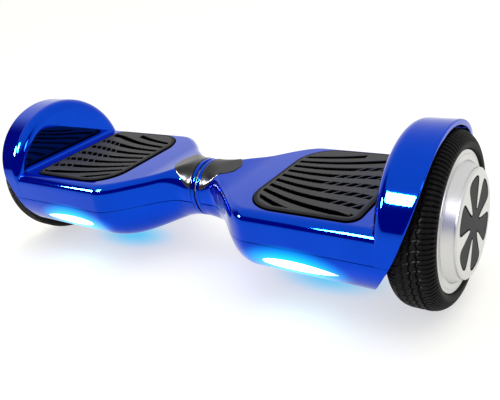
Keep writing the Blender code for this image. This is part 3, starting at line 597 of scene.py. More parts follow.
@dataclass(frozen=True)
class GroovedRubber(Finish):
    """Moulded rubber of a foot pad: matt grey on the ribs, with painted shade that turns it near black down
    in the grooves.
    """

    top: float = 109.3
    floor: float = 0.6              # depth below which the painted shade in a groove is full
    skin: float = 0.05              # depth down to which the ribs stay free of painted shade

    def rise(self, tree: bpy.types.NodeTree, coords: Any, highest: float) -> Any:
        """A value that grows from the grooves' floor up to the ribs.

        Args:
            tree: the material's tree.
            coords: the coordinate socket.
            highest: the value on the ribs.

        Returns:
            The socket with the value.
        """
        split = add_node(tree, "ShaderNodeSeparateXYZ", links={0: coords})
        height = add_node(tree, "ShaderNodeMapRange",
                          values={"From Min": (self.top - self.floor) * MM,
                                  "From Max": (self.top - self.skin) * MM, "To Max": highest},
                          links={"Value": split.outputs["Z"]})
        return height.outputs[0]

    def colour_socket(self, tree: bpy.types.NodeTree, coords: Any) -> Any:
        """The base colour, with painted shade: near black on the grooves' floor, the rubber's grey on the
        ribs.

        Args:
            tree: the material's tree.
            coords: the coordinate socket.

        Returns:
            The socket with the colour.
        """
        ramp = add_node(tree, "ShaderNodeValToRGB", links={"Fac": self.rise(tree, coords, 1.0)})
        ramp.color_ramp.elements[0].color = linear(self.second_colour)
        ramp.color_ramp.elements[1].color = linear(self.colour)
        return ramp.outputs["Color"]

    def dress(self, tree: bpy.types.NodeTree, shader: bpy.types.Node, coords: Any) -> None:
        """Take the sheen out of the grooves, as part of their painted shade.

        Args:
            tree: the material's tree.
            shader: its Principled shader.
            coords: the coordinate socket.
        """
        # less sheen down in the grooves, as painted shade
        tree.links.new(self.rise(tree, coords, self.specular), shader.inputs["Specular IOR Level"])


@dataclass(frozen=True)
class TurnedMetal(Finish):
    """Aluminium faced on a lathe: fine rings about the axle line, drawn coarser than the real ones."""

    ring: float = 0.9               # real rings are about 0.1 mm apart, too fine to show
    ring_height: float = 1.0
    squash: float = 0.35            # how far the rings count along the axle too

    def height_socket(self, tree: bpy.types.NodeTree, coords: Any, grain: Any) -> Any:
        """The rings left by the lathe tool.

        Args:
            tree: the material's tree.
            coords: the coordinate socket.
            grain: the grain's value.

        Returns:
            The socket with the height.
        """
        centred = add_node(tree, "ShaderNodeMapping", {"vector_type": "POINT"},
                           {"Location": (0.0, 0.0, -AXLE_HEIGHT * MM), "Scale": (self.squash, 1.0, 1.0)},
                           {"Vector": coords})
        distance = add_node(tree, "ShaderNodeVectorMath", {"operation": "LENGTH"},
                            links={0: centred.outputs[0]})
        phase = add_node(tree, "ShaderNodeMath", {"operation": "MULTIPLY"},
                         {1: 2 * math.pi / (self.ring * MM)}, {0: distance.outputs["Value"]})
        wave = add_node(tree, "ShaderNodeMath", {"operation": "SINE"}, links={0: phase.outputs[0]})
        lifted = add_node(tree, "ShaderNodeMath", {"operation": "MULTIPLY_ADD"}, {1: 0.5 * self.ring_height},
                          {0: wave.outputs[0], 2: grain})
        return lifted.outputs[0]


@dataclass(frozen=True)
class LitLens(Finish):
    """Frosted polycarbonate over white LEDs: white at the middle of the leaf, cyan towards its edge."""

    glow: str = "35C8FF"
    lamp_u: float = 156.0
    lamp_drop: float = 24.5
    reach: Point = (46.0, 0.0, 7.5)
    white_up_to: float = 0.72       # share of the reach that stays white
    strength: float = 3.0

    def dress(self, tree: bpy.types.NodeTree, shader: bpy.types.Node, coords: Any) -> None:
        """Add the light that comes through the lens.

        Args:
            tree: the material's tree.
            shader: its Principled shader.
            coords: the coordinate socket.
        """
        centre = (self.lamp_u, 0.0, AXLE_HEIGHT - self.lamp_drop)
        distance = lamp_distance(tree, coords, centre, self.reach)
        ramp = add_node(tree, "ShaderNodeValToRGB", links={"Fac": distance})
        ramp.color_ramp.elements[0].position = self.white_up_to
        ramp.color_ramp.elements[0].color = linear("FFFFFF")
        ramp.color_ramp.elements[1].color = linear(self.glow)
        tree.links.new(ramp.outputs["Color"], shader.inputs["Emission Color"])
        shader.inputs["Emission Strength"].default_value = self.strength


@dataclass(frozen=True)
class Finishes:
    """Every finish of the board."""

    # Mirror lacquer: clean reflections with a faint orange-peel ripple a few centimetres long.
    chrome: Finish = LacquerChrome("blue_metallised_abs", "0042C6", 0.035, "003EC0", metallic=1.0, grain=34.0,
                                   grain_height=0.08, mottle=60.0, roughness_spread=0.015, coat=0.09)
    # Compression-moulded rubber: matt, with a grain from the mould; its second colour is the painted shade in
    # the grooves.
    pad: Finish = GroovedRubber("moulded_pad_rubber", "3E3E3C", 0.5, "030303", grain=0.7, grain_height=0.05,
                                roughness_spread=0.1, specular=0.1)
    # Dull black, for the sheet under the star that paints the shade in the gap round it.
    gasket: Finish = Finish("black_gasket_rubber", "040404", 0.6, "020202", grain=0.8, grain_height=0.02,
                            roughness_spread=0.1, specular=0.0)
    # Vulcanised tyre rubber: dull black with a slight bloom.
    tyre: Finish = Finish("vulcanised_tyre_rubber", "0B0A0A", 0.5, "100F0E", grain=0.8, grain_height=0.03,
                          roughness_spread=0.12, specular=0.07)
    # Turned and clear-coated aluminium: satin with fine rings.
    turned: Finish = TurnedMetal("turned_aluminium", "A0A09D", 0.09, "989895", metallic=1.0, grain=1.2,
                                 grain_height=0.004, mottle=15.0, roughness_spread=0.06)
    # Wet-painted die-cast inlay: satin grey.
    grey: Finish = Finish("satin_grey_paint", "232327", 0.45, "202024", grain=0.5, grain_height=0.01,
                          roughness_spread=0.06, specular=0.06)
    # Injection-moulded gloss ABS.
    gloss: Finish = Finish("gloss_black_abs", "10100E", 0.22, "0E0E0C", grain=20.0, grain_height=0.03,
                           mottle=30.0, roughness_spread=0.03, coat=0.1, specular=0.25)
    # Injection-moulded, spark-eroded ABS.
    plastic: Finish = Finish("textured_black_abs", "1A1A1A", 0.5, "202020", grain=0.4, grain_height=0.03)
    # Moulded polycarbonate with a frosted face, lit from behind.
    lens: Finish = LitLens("frosted_polycarbonate", "F4FCFF", 0.3, "EAF8FF", grain=1.0, grain_height=0.01)
    # Die-cast and bead-blasted aluminium: grey with a dull sparkle.
    cast: Finish = Finish("die_cast_aluminium", "9B9C9C", 0.45, "8C8D8E", metallic=1.0, grain=0.8,
                          grain_height=0.05, roughness_spread=0.15)
    # Ground steel.
    steel: Finish = Finish("ground_steel", "A9AAAC", 0.28, "9C9DA0", metallic=1.0, grain=0.5,
                           grain_height=0.01)
    # Sintered bronze.
    bronze: Finish = Finish("sintered_bronze", "B08A4A", 0.38, "A57C3E", metallic=1.0, grain=0.5,
                            grain_height=0.02)
    # Enamelled copper on laminated iron.
    copper: Finish = Finish("enamelled_copper", "B4693A", 0.3, "7A4526", metallic=1.0, grain=0.9,
                            grain_height=0.1, mottle=2.0)
    # Glass-fibre laminate under solder mask.
    board: Finish = Finish("solder_masked_laminate", "1B5A33", 0.35, "174C2C", grain=1.0, grain_height=0.03,
                           mottle=3.0, coat=0.3)
    # Heat-shrunk PVC sleeve.
    wrap: Finish = Finish("shrunk_pvc_sleeve", "2F5FA8", 0.3, "2A5596", grain=3.0, grain_height=0.08,
                          mottle=12.0)
    # Polished stainless steel.
    button: Finish = Finish("polished_stainless_steel", "C9CACC", 0.14, "C2C3C6", metallic=1.0, grain=4.0,
                            grain_height=0.01, roughness_spread=0.05)


FINISH = Finishes()


def set_piece(obj: bpy.types.Object, finish: Finish, body: str, nodes: Sequence[str]) -> None:
    """Dress a piece, tie it to its body and let it stand for CAD nodes.

    Args:
        obj: the finished piece.
        finish: its finish.
        body: the body that it moves with.
        nodes: the CAD nodes that it stands for.
    """
    obj.data.materials.clear()
    obj.data.materials.append(finish.material())
    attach(obj, body)
    if nodes:
        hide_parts(*nodes)
    LOG.info("%s: %d faces, moves with %s", obj.name, len(obj.data.polygons), body)


# Body

@dataclass(frozen=True)
class BodyShape:
    """The body's outer form, from the round waist to the flat deck."""

    waist_radius: float = 32.0
    half_width: float = 87.5
    deck: float = 25.0
    belly: float = 50.0
    shoulder: float = 12.0
    keel: float = 44.0
    flare_start: float = 20.0
    flare_end: float = 104.0
    shoulder_start: float = 6.0
    shoulder_end: float = 45.0
    deck_run: float = 62.0
    belly_run: float = 88.0
    seam: float = -5.5
    edge_top: float = 273.2
    edge_curve: float = 0.0027
    drum: float = 90.5
    seam_half_gap: float = 0.15
    seam_bevel: float = 0.35

    def sizes(self, u: float) -> tuple[float, float, float, float, float]:
        """The section's sizes.

        Args:
            u: distance from the centre plane.

        Returns:
            Half width, top, belly depth, shoulder radius and keel radius.
        """
        waist = self.waist_radius
        half = blend(waist, self.half_width, ease(u, self.flare_start, self.flare_end))
        top = blend(waist, self.deck, ease(u, 0.0, self.deck_run))
        belly = blend(waist, self.belly, ease(u, 0.0, self.belly_run))
        shoulder = blend(waist, self.shoulder, ease(u, self.shoulder_start, self.shoulder_end))
        keel = blend(waist, self.keel, ease(u, 0.0, self.flare_end))
        return half, top, belly, min(shoulder, top - 0.5, half), min(keel, belly - 0.5, half)

    def side_y(self, u: float, z: float, inset: float = 0.0) -> float:
        """Half width of the section at a height.

        Args:
            u: distance from the centre plane.
            z: height from the axle line.
            inset: how far inwards the section is moved.

        Returns:
            The distance from the middle plane.
        """
        half, top, belly, shoulder, keel = self.sizes(u)
        if z > top - shoulder:
            radius, rise = shoulder - inset, z - (top - shoulder)
            return half - shoulder + math.sqrt(max(radius ** 2 - rise ** 2, 0.0))
        if z < keel - belly:
            radius, drop = keel - inset, (keel - belly) - z
            return half - keel + math.sqrt(max(radius ** 2 - drop ** 2, 0.0))
        return half - inset

    def top_z(self, u: float, y: float, inset: float = 0.0) -> float:
        """Height of the top surface.

        Args:
            u: distance from the centre plane.
            y: distance from the middle plane.
            inset: how far inwards the section is moved.

        Returns:
            The height from the axle line.
        """
        half, top, _, shoulder, _ = self.sizes(u)
        beyond = abs(y) - (half - shoulder)
        if beyond <= 0.0:
            return top - inset
        radius = shoulder - inset
        return top - shoulder + math.sqrt(max(radius ** 2 - beyond ** 2, 0.0))

    def upper(self, u: float, inset: float) -> list[Pair]:
        """The section above the seam, from the seam at +y over the deck to the seam at -y.

        Args:
            u: distance from the centre plane.
            inset: how far inwards the section is moved.

        Returns:
            Points as (y, z).
        """
        half, top, _, shoulder, _ = self.sizes(u)
        low, bevel = self.seam + self.seam_half_gap, self.seam_bevel
        high = top - shoulder
        points = [(self.side_y(u, low, inset) - (0.0 if inset else bevel), low)]
        for t in (0.0, 0.25, 0.5, 0.75, 0.96):
            z = blend(low + bevel, high, t)
            points.append((self.side_y(u, z, inset), z))
        points += arc((half - shoulder, high), (shoulder - inset, shoulder - inset), 0, 90, 16)
        flat = half - shoulder
        points += [(flat * t, top - inset) for t in (0.98, 0.9, 0.75, 0.5, 0.25)]
        return points + [(0.0, top - inset)] + [(-y, z) for y, z in reversed(points)]

    def lower(self, u: float, inset: float) -> list[Pair]:
        """The section below the seam, from the seam at +y under the belly to the seam at -y.

        Args:
            u: distance from the centre plane.
            inset: how far inwards the section is moved.

        Returns:
            Points as (y, z).
        """
        half, _, belly, _, keel = self.sizes(u)
        high, bevel = self.seam - self.seam_half_gap, self.seam_bevel
        points = [(self.side_y(u, high, inset) - (0.0 if inset else bevel), high)]
        centre = keel - belly
        radius = keel - inset
        first = math.degrees(math.asin(min(max((centre - high + bevel) / radius, 0.0), 1.0)))
        points += arc((half - keel, centre), (radius, radius), -first - 0.5, -90, 26)
        flat = half - keel
        points += [(flat * t, inset - belly) for t in (0.95, 0.7, 0.35)]
        return points + [(0.0, inset - belly)] + [(-y, z) for y, z in reversed(points)]

    def edge_u(self, z: float) -> float:
        """Where the arch's edge lies at a height, along the board."""
        return self.edge_top - self.edge_curve * (self.drum - z) ** 2


SHAPE = BodyShape()


@dataclass(frozen=True)
class PadOutline:
    """Outline of a foot pad, with large corners towards the waist and small ones towards the wheel."""

    inner_u: float = 92.0
    outer_u: float = 216.0
    half_width: float = 75.0
    inner_corner: float = 39.0
    outer_corner: float = 14.0

    def edge_distance(self, u: float, y: float) -> float:
        """Distance of a point inside the outline to the pad's edge.

        Args:
            u: distance from the centre plane.
            y: distance from the middle plane.

        Returns:
            The distance, negative outside.
        """
        middle = (self.inner_u + self.outer_u) / 2
        corner = self.inner_corner if u < middle else self.outer_corner
        along = abs(u - middle) - (self.outer_u - middle - corner)
        across = abs(y) - (self.half_width - corner)
        outside = math.hypot(max(along, 0.0), max(across, 0.0))
        return corner - outside - min(max(along, across), 0.0)

    def half_width_at(self, u: float) -> float:
        """Half width of the outline.

        Args:
            u: distance from the centre plane.

        Returns:
            The half width.
        """
        ends = ((u - self.inner_u, self.inner_corner), (self.outer_u - u, self.outer_corner))
        for inside, corner in ends:
            if inside < corner:
                rest = corner - inside
                return self.half_width - corner + math.sqrt(max(corner ** 2 - rest ** 2, 0.0))
        return self.half_width

    def grown(self, by: float) -> list[Pair]:
        """The outline, moved outwards.

        Args:
            by: how far, in millimetres.

        Returns:
            Points as (u, y).
        """
        inner, outer = self.inner_u - by, self.outer_u + by
        half = self.half_width + by
        big, small = self.inner_corner + by, self.outer_corner + by
        points = arc((outer - small, half - small), (small, small), 0, 90, 16)
        points += arc((inner + big, half - big), (big, big), 90, 180, 28)
        points += arc((inner + big, big - half), (big, big), 180, 270, 28)
        return points + arc((outer - small, small - half), (small, small), 270, 360, 16)


PAD = PadOutline()


@dataclass
class Covers:
    """Top and bottom cover of one half, with the wheel arch, the waist ring and the waist trim."""

    side: Side
    wall: float = 2.6
    start_u: float = 6.05
    well_u: float = 235.0
    arch_wall_u: float = 232.0
    nose: float = 12.0
    liner: float = 85.1
    flat_y: float = 87.6
    axle_hole: float = 10.0
    fillet: float = 3.2
    fillet_reach: float = 74.5
    end_wall_inset: float = 1.2
    pad_clearance: float = 0.5
    ring_inner: float = 26.0
    ring_outer: float = 32.3
    trim_length: float = 36.0
    trim_half_width: float = 30.5
    trim_proud: float = 0.7
    trim_round: float = 1.1

    def build(self) -> None:
        """Build and dress every piece of the half's shell."""
        tag = self.side.tag
        body = f"{tag}_half"
        set_piece(self.top_cover(), FINISH.chrome, body, [f"top_cover_{tag}"])
        set_piece(self.bottom_cover(), FINISH.chrome, body, [f"bottom_cover_{tag}"])
        set_piece(self.waist_ring(), FINISH.chrome, body, [f"waist_ring_{tag}"])
        set_piece(self.trim(), FINISH.gloss, body, [f"centre_trim_{tag}"])

    def shell_rings(self, section: Callable[[float, float], list[Pair]],
                    end_u: Callable[[float, float], float]) -> list[list[Point]]:
        """Closed rings of a shell along the board.

        Args:
            section: gives an outline at u and inset.
            end_u: gives where the shell ends for a point (y, z) of its section.

        Returns:
            Rings in metres, each an outer run followed by the inner run.
        """
        rings = []
        flare = 56
        for i in range(flare + 1):
            u = blend(self.start_u, SHAPE.flare_end, i / flare)
            outline = section(u, 0.0) + section(u, self.wall)[::-1]
            rings.append([self.side.point(u, y, z) for y, z in outline])
        outer, inner = section(SHAPE.flare_end, 0.0), section(SHAPE.flare_end, self.wall)
        ends = [end_u(y, z) for y, z in outer]
        run = 14
        for i in range(1, run + 1):
            stations = [blend(SHAPE.flare_end, end, i / run) for end in ends]
            ring = [self.side.point(u, y, z) for u, (y, z) in zip(stations, outer)]
            ring += [self.side.point(u, y, z) for u, (y, z) in reversed(list(zip(stations, inner)))]
            rings.append(ring)
        return rings

    def top_cover(self) -> bpy.types.Object:
        """Deck, wheel arch and arch wall in one moulding.

        Returns:
            The finished mesh object.
        """
        def end_u(y: float, z: float) -> float:
            """The sides run on under the arch; the deck stops in its wall."""
            return SHAPE.edge_u(z) - 0.6 if math.hypot(y, z) > self.liner + 0.4 else self.well_u - 1.5

        bm = bmesh.new()
        add_rings(bm, self.shell_rings(SHAPE.upper, end_u), paired_ends=True)
        cover = cut(to_mesh(f"deck_shell_{self.side.tag}", bm), self.pad_opening())
        bm = bmesh.new()
        bm.from_mesh(cover.data)
        add_rings(bm, self.arch_rings())
        self.add_fillet(bm)
        bpy.data.objects.remove(cover, do_unlink=True)
        return even_normals(to_mesh(f"deck_cover_{self.side.tag}", bm))

    def pad_opening(self) -> bpy.types.Object:
        """Cutter for the foot pad's opening.

        Returns:
            The cutter.
        """
        place = Matrix.Diagonal((self.side.value, 1.0, 1.0, 1.0))
        deck = AXLE_HEIGHT + SHAPE.deck
        return prism("pad_opening", PAD.grown(self.pad_clearance), deck - 10.0, deck + 15.0, place)

    def arch_rings(self) -> list[list[Point]]:
        """Rings of the wheel arch, each a closed profile through its wall.

        Returns:
            Rings in metres, from the seam at +y over the top to the seam at -y.
        """
        def straight(z: float, sign: int) -> list[Point]:
            """Ring of the flat side at height z, at +y or -y."""
            return [self.side.point(u, sign * min(r, self.flat_y), z) for u, r in self.arch_profile(z)]

        heights = (SHAPE.seam + SHAPE.seam_half_gap, SHAPE.seam + 3.0)
        rings = [straight(z, 1) for z in heights]
        steps = 104
        for i in range(steps + 1):
            angle = math.radians(blend(90.0, -90.0, i / steps))
            limit = self.flat_y / max(abs(math.sin(angle)), 1e-6)
            reach = min(SHAPE.drum, limit)
            profile = self.arch_profile(reach * math.cos(angle))
            ring = []
            for u, r in profile:
                r = min(r, limit)
                ring.append(self.side.point(u, r * math.sin(angle), r * math.cos(angle)))
            rings.append(ring)
        return rings + [straight(z, -1) for z in reversed(heights)]

    def arch_profile(self, z: float) -> list[Pair]:
        """Profile through the arch where its outer surface is at height z.

        Args:
            z: height from the axle line.

        Returns:
            Points as (u, radius), closed.
        """
        edge, drum, lip = SHAPE.edge_u(z), SHAPE.drum, 1.3
        wall, nose = self.arch_wall_u, self.nose
        points = [(wall, r) for r in (self.axle_hole, 30.0, 50.0, 66.0, 76.0)]
        points += arc((wall + nose, drum - nose), (nose, nose), 180, 90, 14)
        points += [(blend(wall + nose, edge - lip, t), drum) for t in (0.1, 0.5, 0.94)]
        points += arc((edge - lip, drum - lip), (lip, lip), 90, 0, 5)
        points += arc((edge - lip, self.liner + lip), (lip, lip), 0, -90, 5)
        points += [(blend(wall + nose, edge - lip, t), self.liner) for t in (0.9, 0.5)]
        inner = wall + nose - self.well_u
        points += arc((wall + nose, drum - nose), (inner, self.liner - drum + nose), 90, 180, 10)
        points += [(self.well_u, r) for r in (66.0, 50.0, 30.0, self.axle_hole)]
        return points

    def add_fillet(self, bm: bmesh.types.BMesh) -> None:
        """Round the corner between the deck and the arch's wall.

        Args:
            bm: the top cover's mesh.
        """
        wall, deck, radius = self.arch_wall_u, SHAPE.deck, self.fillet
        behind, below = wall + 0.8, deck - 1.0      # hidden inside the wall and under the deck
        hollow = arc((wall - radius, deck + radius), (radius, radius), 0, -90, 8)
        profile = [(behind, below), (behind, deck + radius)] + hollow + [(wall - radius, below)]
        steps = 12
        stations = [blend(-self.fillet_reach, self.fillet_reach, i / steps) for i in range(steps + 1)]
        add_rings(bm, [[self.side.point(u, y, z) for u, z in profile] for y in stations])

    def bottom_cover(self) -> bpy.types.Object:
        """Belly moulding up to the seam, closed by its end wall behind the wheel.

        Returns:
            The finished mesh object.
        """
        bm = bmesh.new()
        add_rings(bm, self.shell_rings(SHAPE.lower, lambda y, z: SHAPE.edge_u(z)), paired_ends=True)
        rows, cols = 26, 40
        front, back = [], []
        for r in range(rows + 1):
            z = blend(SHAPE.seam - 0.2, self.end_wall_inset - SHAPE.belly, r / rows)
            reach = SHAPE.side_y(self.arch_wall_u, z, self.end_wall_inset)
            u = min(self.well_u, SHAPE.edge_u(z) - 0.8)
            front.append([self.side.point(u, reach * t, z) for t in crowded(cols)])
            back.append([self.side.point(u - self.wall, reach * t, z) for t in crowded(cols)])
        wall = slab("end_wall", front, back)
        bm.from_mesh(wall.data)
        bpy.data.objects.remove(wall, do_unlink=True)
        return even_normals(to_mesh(f"belly_cover_{self.side.tag}", bm))

    def waist_ring(self) -> bpy.types.Object:
        """Bright ring at the waist's gap.

        Returns:
            The finished mesh object.
        """
        near, far, outer = 1.25, 5.75, self.ring_outer
        profile = [(near + 0.4, self.ring_inner), (near, self.ring_inner + 0.6)]
        profile += arc((near + 1.2, outer - 1.2), (1.2, 1.2), 180, 90, 6)
        profile += arc((far - 0.9, outer - 0.9), (0.9, 0.9), 90, 0, 6)
        profile += [(far, self.ring_inner + 0.6), (far - 0.4, self.ring_inner)]
        return even_normals(lathe(f"bright_ring_{self.side.tag}", profile, on_axle(self.side), 128))

    def trim(self) -> bpy.types.Object:
        """Gloss trim on top of the waist, rounded over at its edge.

        Returns:
            The finished mesh object.
        """
        rows, cols = 48, 33
        front, back = [], []
        for r in range(rows + 1):
            along = math.sin(r / rows * math.pi / 2)
            u = self.start_u + 0.1 + (self.trim_length - 0.2) * along
            half = max(self.trim_half_width * math.sqrt(1.0 - along ** 2), 0.4)
            upper, lower = [], []
            for t in crowded(cols, 0.5):
                y = half * t
                edge = min(half * (1.0 - abs(t)), u - self.start_u, (1.0 - along) * self.trim_length)
                proud = blend(-0.2, self.trim_proud, math.sqrt(min(edge / self.trim_round, 1.0)))
                upper.append(self.side.point(u, y, SHAPE.top_z(u, y, -proud)))
                lower.append(self.side.point(u, y * 0.99, SHAPE.top_z(u, y, 1.0)))
            front.append(upper)
            back.append(lower)
        return slab(f"waist_trim_{self.side.tag}", front, back, 50.0)


@dataclass
class Lamp:
    """Leaf-shaped lens of one front lamp."""

    side: Side
    inner_u: float = 119.0
    outer_u: float = 199.0
    widest: float = 0.4
    drop: float = 24.5
    half_height: float = 6.5
    proud: float = 0.7
    thickness: float = 1.4

    def build(self) -> None:
        """Build and dress the lens."""
        tag = self.side.tag
        set_piece(self.lens(), FINISH.lens, f"{tag}_half", [f"lamp_lens_{tag}"])

    def height_at(self, u: float) -> float:
        """Half height of the leaf.

        Args:
            u: distance from the centre plane.

        Returns:
            The half height.
        """
        middle = blend(self.inner_u, self.outer_u, self.widest)
        if u < middle:
            share = (middle - u) / (middle - self.inner_u)
            return self.half_height * math.sqrt(max(1.0 - share ** 2, 0.0))
        share = (u - middle) / (self.outer_u - middle)
        return self.half_height * max(math.cos(share * math.pi / 2), 0.0) ** 0.8

    def lens(self) -> bpy.types.Object:
        """The lens, bulged out of the keel's curve.

        Returns:
            The finished mesh object.
        """
        rows, cols = 60, 15
        front, back = [], []
        for r in range(rows + 1):
            u = blend(self.inner_u, self.outer_u, 0.5 - 0.5 * math.cos(math.pi * r / rows))
            half = max(self.height_at(u), 0.25)
            outer, inner = [], []
            for t in crowded(cols, 0.7):
                z = half * t - self.drop
                bulge = self.proud * math.sqrt(1.0 - 0.98 * t * t) * min(half / 2.0, 1.0)
                outer.append(self.side.point(u, -SHAPE.side_y(u, z, -bulge), z))
                inner.append(self.side.point(u, -SHAPE.side_y(u, z, self.thickness), z))
            front.append(outer)
            back.append(inner)
        return slab(f"lit_lens_{self.side.tag}", front, back, 60.0)


@dataclass
class FootPad:
    """Rubber foot pad with fanned grooves, broken up by slanting ribs towards the wheel."""

    side: Side
    top: float = 26.8
    bottom: float = 21.2
    groove_count: int = 9
    groove_depth: float = 3.4
    groove_start: float = 97.0
    groove_end: float = 190.0
    groove_half_widths: Pair = (2.7, 3.9)           # at the fan's start and at its end
    groove_wall: Pair = (-0.45, 0.35)               # where a groove's wall is, across its edge
    fan_start: Pair = (46.0, 11.8)                  # first groove's y at the fan's start, and the pitch there
    fan_end: Pair = (73.5, 19.6)                    # the same at its end
    bow: float = 4.5
    short_end: float = 163.0                        # where the first and last groove stop
    hook_half_width: float = 1.8
    hook_reach: float = 7.0
    rib_half_width: float = 1.4
    rib_pitch: float = 10.6
    rib_slant: float = 0.75
    rib_start: float = 154.0                        # first rib's u on the groove nearest to rib_middle
    rib_middle: float = 3.8
    rib_bend: float = 5.5
    border: float = 7.5
    border_drop: float = 0.42
    border_fade: Pair = (3.0, 7.0)
    edge_round: float = 1.6
    rows: int = 176
    cols: int = 210

    def build(self) -> None:
        """Build and dress the pad."""
        tag = self.side.tag
        set_piece(self.pad(), FINISH.pad, f"{tag}_pad", [f"foot_pad_{tag}"])

    def groove_y(self, index: int, u: float) -> float:
        """Middle line of a groove.

        Args:
            index: the groove, counted from the back.
            u: distance from the centre plane.

        Returns:
            Its distance from the middle plane.
        """
        t = (u - self.groove_start) / (self.groove_end - self.groove_start)
        start, end = [first - pitch * index for first, pitch in (self.fan_start, self.fan_end)]
        line = blend(start, end, t)
        return line - self.bow * math.sin(math.pi * min(max(t, 0.0), 1.0))

    def groove_depth_at(self, u: float, y: float) -> float:
        """How deep the grooves are at a point.

        Args:
            u: distance from the centre plane.
            y: distance from the middle plane.

        Returns:
            A share of the full depth, from 0 to 1.
        """
        deepest = 0.0
        half = blend(*self.groove_half_widths, ease(u, self.groove_start, self.groove_end))
        last = self.groove_count - 1
        for index in range(self.groove_count):
            end = self.short_end if index in (0, last) else PAD.outer_u - self.border
            rise = y - self.groove_y(index, u)
            off = abs(rise) - half
            if index in (last - 2, last - 1):
                wide = self.hook_half_width
                off = min(off, max(abs(u - (end - wide)) - wide, -rise, rise - self.hook_reach))
            gap = max(off, u - end, self.border - PAD.edge_distance(u, y), self.rib_gap(index, u, y))
            deepest = max(deepest, 1.0 - ease(gap, *self.groove_wall))
        return deepest

    def rib_gap(self, index: int, u: float, y: float) -> float:
        """How far a point is inside one of the slanting ribs that break up a groove.

        Args:
            index: the groove, counted from the back.
            u: distance from the centre plane.
            y: distance from the middle plane.

        Returns:
            A positive number inside a rib, negative outside.
        """
        first = self.rib_start + self.rib_bend * (index - self.rib_middle) ** 2
        slanted = u - self.rib_slant * (y - self.groove_y(index, u)) - first
        if not 2 <= index <= self.groove_count - 3 or slanted < -self.rib_half_width:
            return -self.rib_pitch
        middle = self.rib_pitch / 2
        return self.rib_half_width - abs((slanted + middle) % self.rib_pitch - middle)

    def pad(self) -> bpy.types.Object:
        """The pad's mesh: a fine height field on top, straight sides and a flat underside.

        Returns:
            The finished mesh object.
        """
        bm = bmesh.new()
        grid = []
        for r in range(self.rows + 1):
            u = blend(PAD.inner_u, PAD.outer_u, r / self.rows)
            u = min(max(u, PAD.inner_u + 0.02), PAD.outer_u - 0.02)
            half = PAD.half_width_at(u)
            stations = [half * (2.0 * c / self.cols - 1.0) for c in range(self.cols + 1)]
            grid.append([bm.verts.new(self.side.point(u, y, self.height(u, y))) for y in stations])
        for row, following in zip(grid, grid[1:]):
            for c in range(self.cols):
                bm.faces.new((row[c], row[c + 1], following[c + 1], following[c]))
        rim = grid[0] + [row[-1] for row in grid[1:]]
        rim += grid[-1][-2::-1] + [row[0] for row in grid[-2:0:-1]]
        floor = [bm.verts.new((v.co.x, v.co.y, (AXLE_HEIGHT + self.bottom) * MM)) for v in rim]
        for i, vertex in enumerate(rim):
            bm.faces.new((rim[i - 1], vertex, floor[i], floor[i - 1]))
        bm.faces.new(floor)
        return to_mesh(f"grooved_pad_{self.side.tag}", bm, 60.0)

    def height(self, u: float, y: float) -> float:
        """Height of the top surface, with border, rounded edge and grooves.

        Args:
            u: distance from the centre plane.
            y: distance from the middle plane.

        Returns:
            The height from the axle line.
        """
        distance = max(PAD.edge_distance(u, y), 0.0)
        z = self.top - self.border_drop * (1.0 - ease(distance, *self.border_fade))
        if distance < self.edge_round:
            rest = self.edge_round - distance
            z -= self.edge_round - math.sqrt(self.edge_round ** 2 - rest ** 2)
        return z - self.groove_depth * self.groove_depth_at(u, y)


# Wheels

@dataclass(frozen=True)
class Tread:
    """The tyre's grooves: two zigzag rings a side, cross grooves on the shoulder and fine cuts between."""

    segments: int = 56
    depth: float = 1.8
    rings: Pair = (3.6, 10.2)       # distances of the zigzag rings from the wheel's middle
    swing: float = 0.9
    ring_half: float = 0.55
    cross_from: float = 11.0        # where the shoulder's cross grooves start, from the wheel's middle
    cross_half: float = 0.62
    cross_end: Pair = (71.0, 72.5)  # radii between which they fade out
    cut_to: float = 9.6             # how far the fine cuts reach from the wheel's middle
    cut_half: float = 0.35
    cut_share: float = 0.55         # their share of the full depth

    def depth_at(self, along: float, radius: float, phase: float, pitch: float) -> float:
        """Depth of the tread's grooves.

        Args:
            along: distance from the wheel's middle plane.
            radius: distance from the axle line.
            phase: position within one tread segment, from 0 to 1.
            pitch: length of a segment round the tyre.

        Returns:
            The depth in millimetres.
        """
        a = abs(along)
        zigzag = self.swing * (abs(2.0 * phase - 1.0) * 2.0 - 1.0)
        ring = min(abs(a - self.rings[0] - zigzag), abs(a - self.rings[1] + zigzag)) - self.ring_half
        share = 1.0 - ease(ring, -0.3, 0.5)
        if a > self.cross_from and radius > self.cross_end[0]:
            wave = (2.0 * phase + 0.02 * (a - 15.0)) % 1.0
            cross = min(wave, 1.0 - wave) * pitch / 2 - self.cross_half
            ends = min(ease(a, self.cross_from, self.cross_from + 1.0), ease(radius, *self.cross_end))
            share = max(share, ends * (1.0 - ease(cross, -0.35, 0.35)))
        if a < self.cut_to:
            slant = (phase + 0.05 * along) % 1.0
            fine = min(slant, 1.0 - slant) * pitch - self.cut_half
            share = max(share, self.cut_share * (1.0 - ease(fine, -0.25, 0.4)))
        return self.depth * share


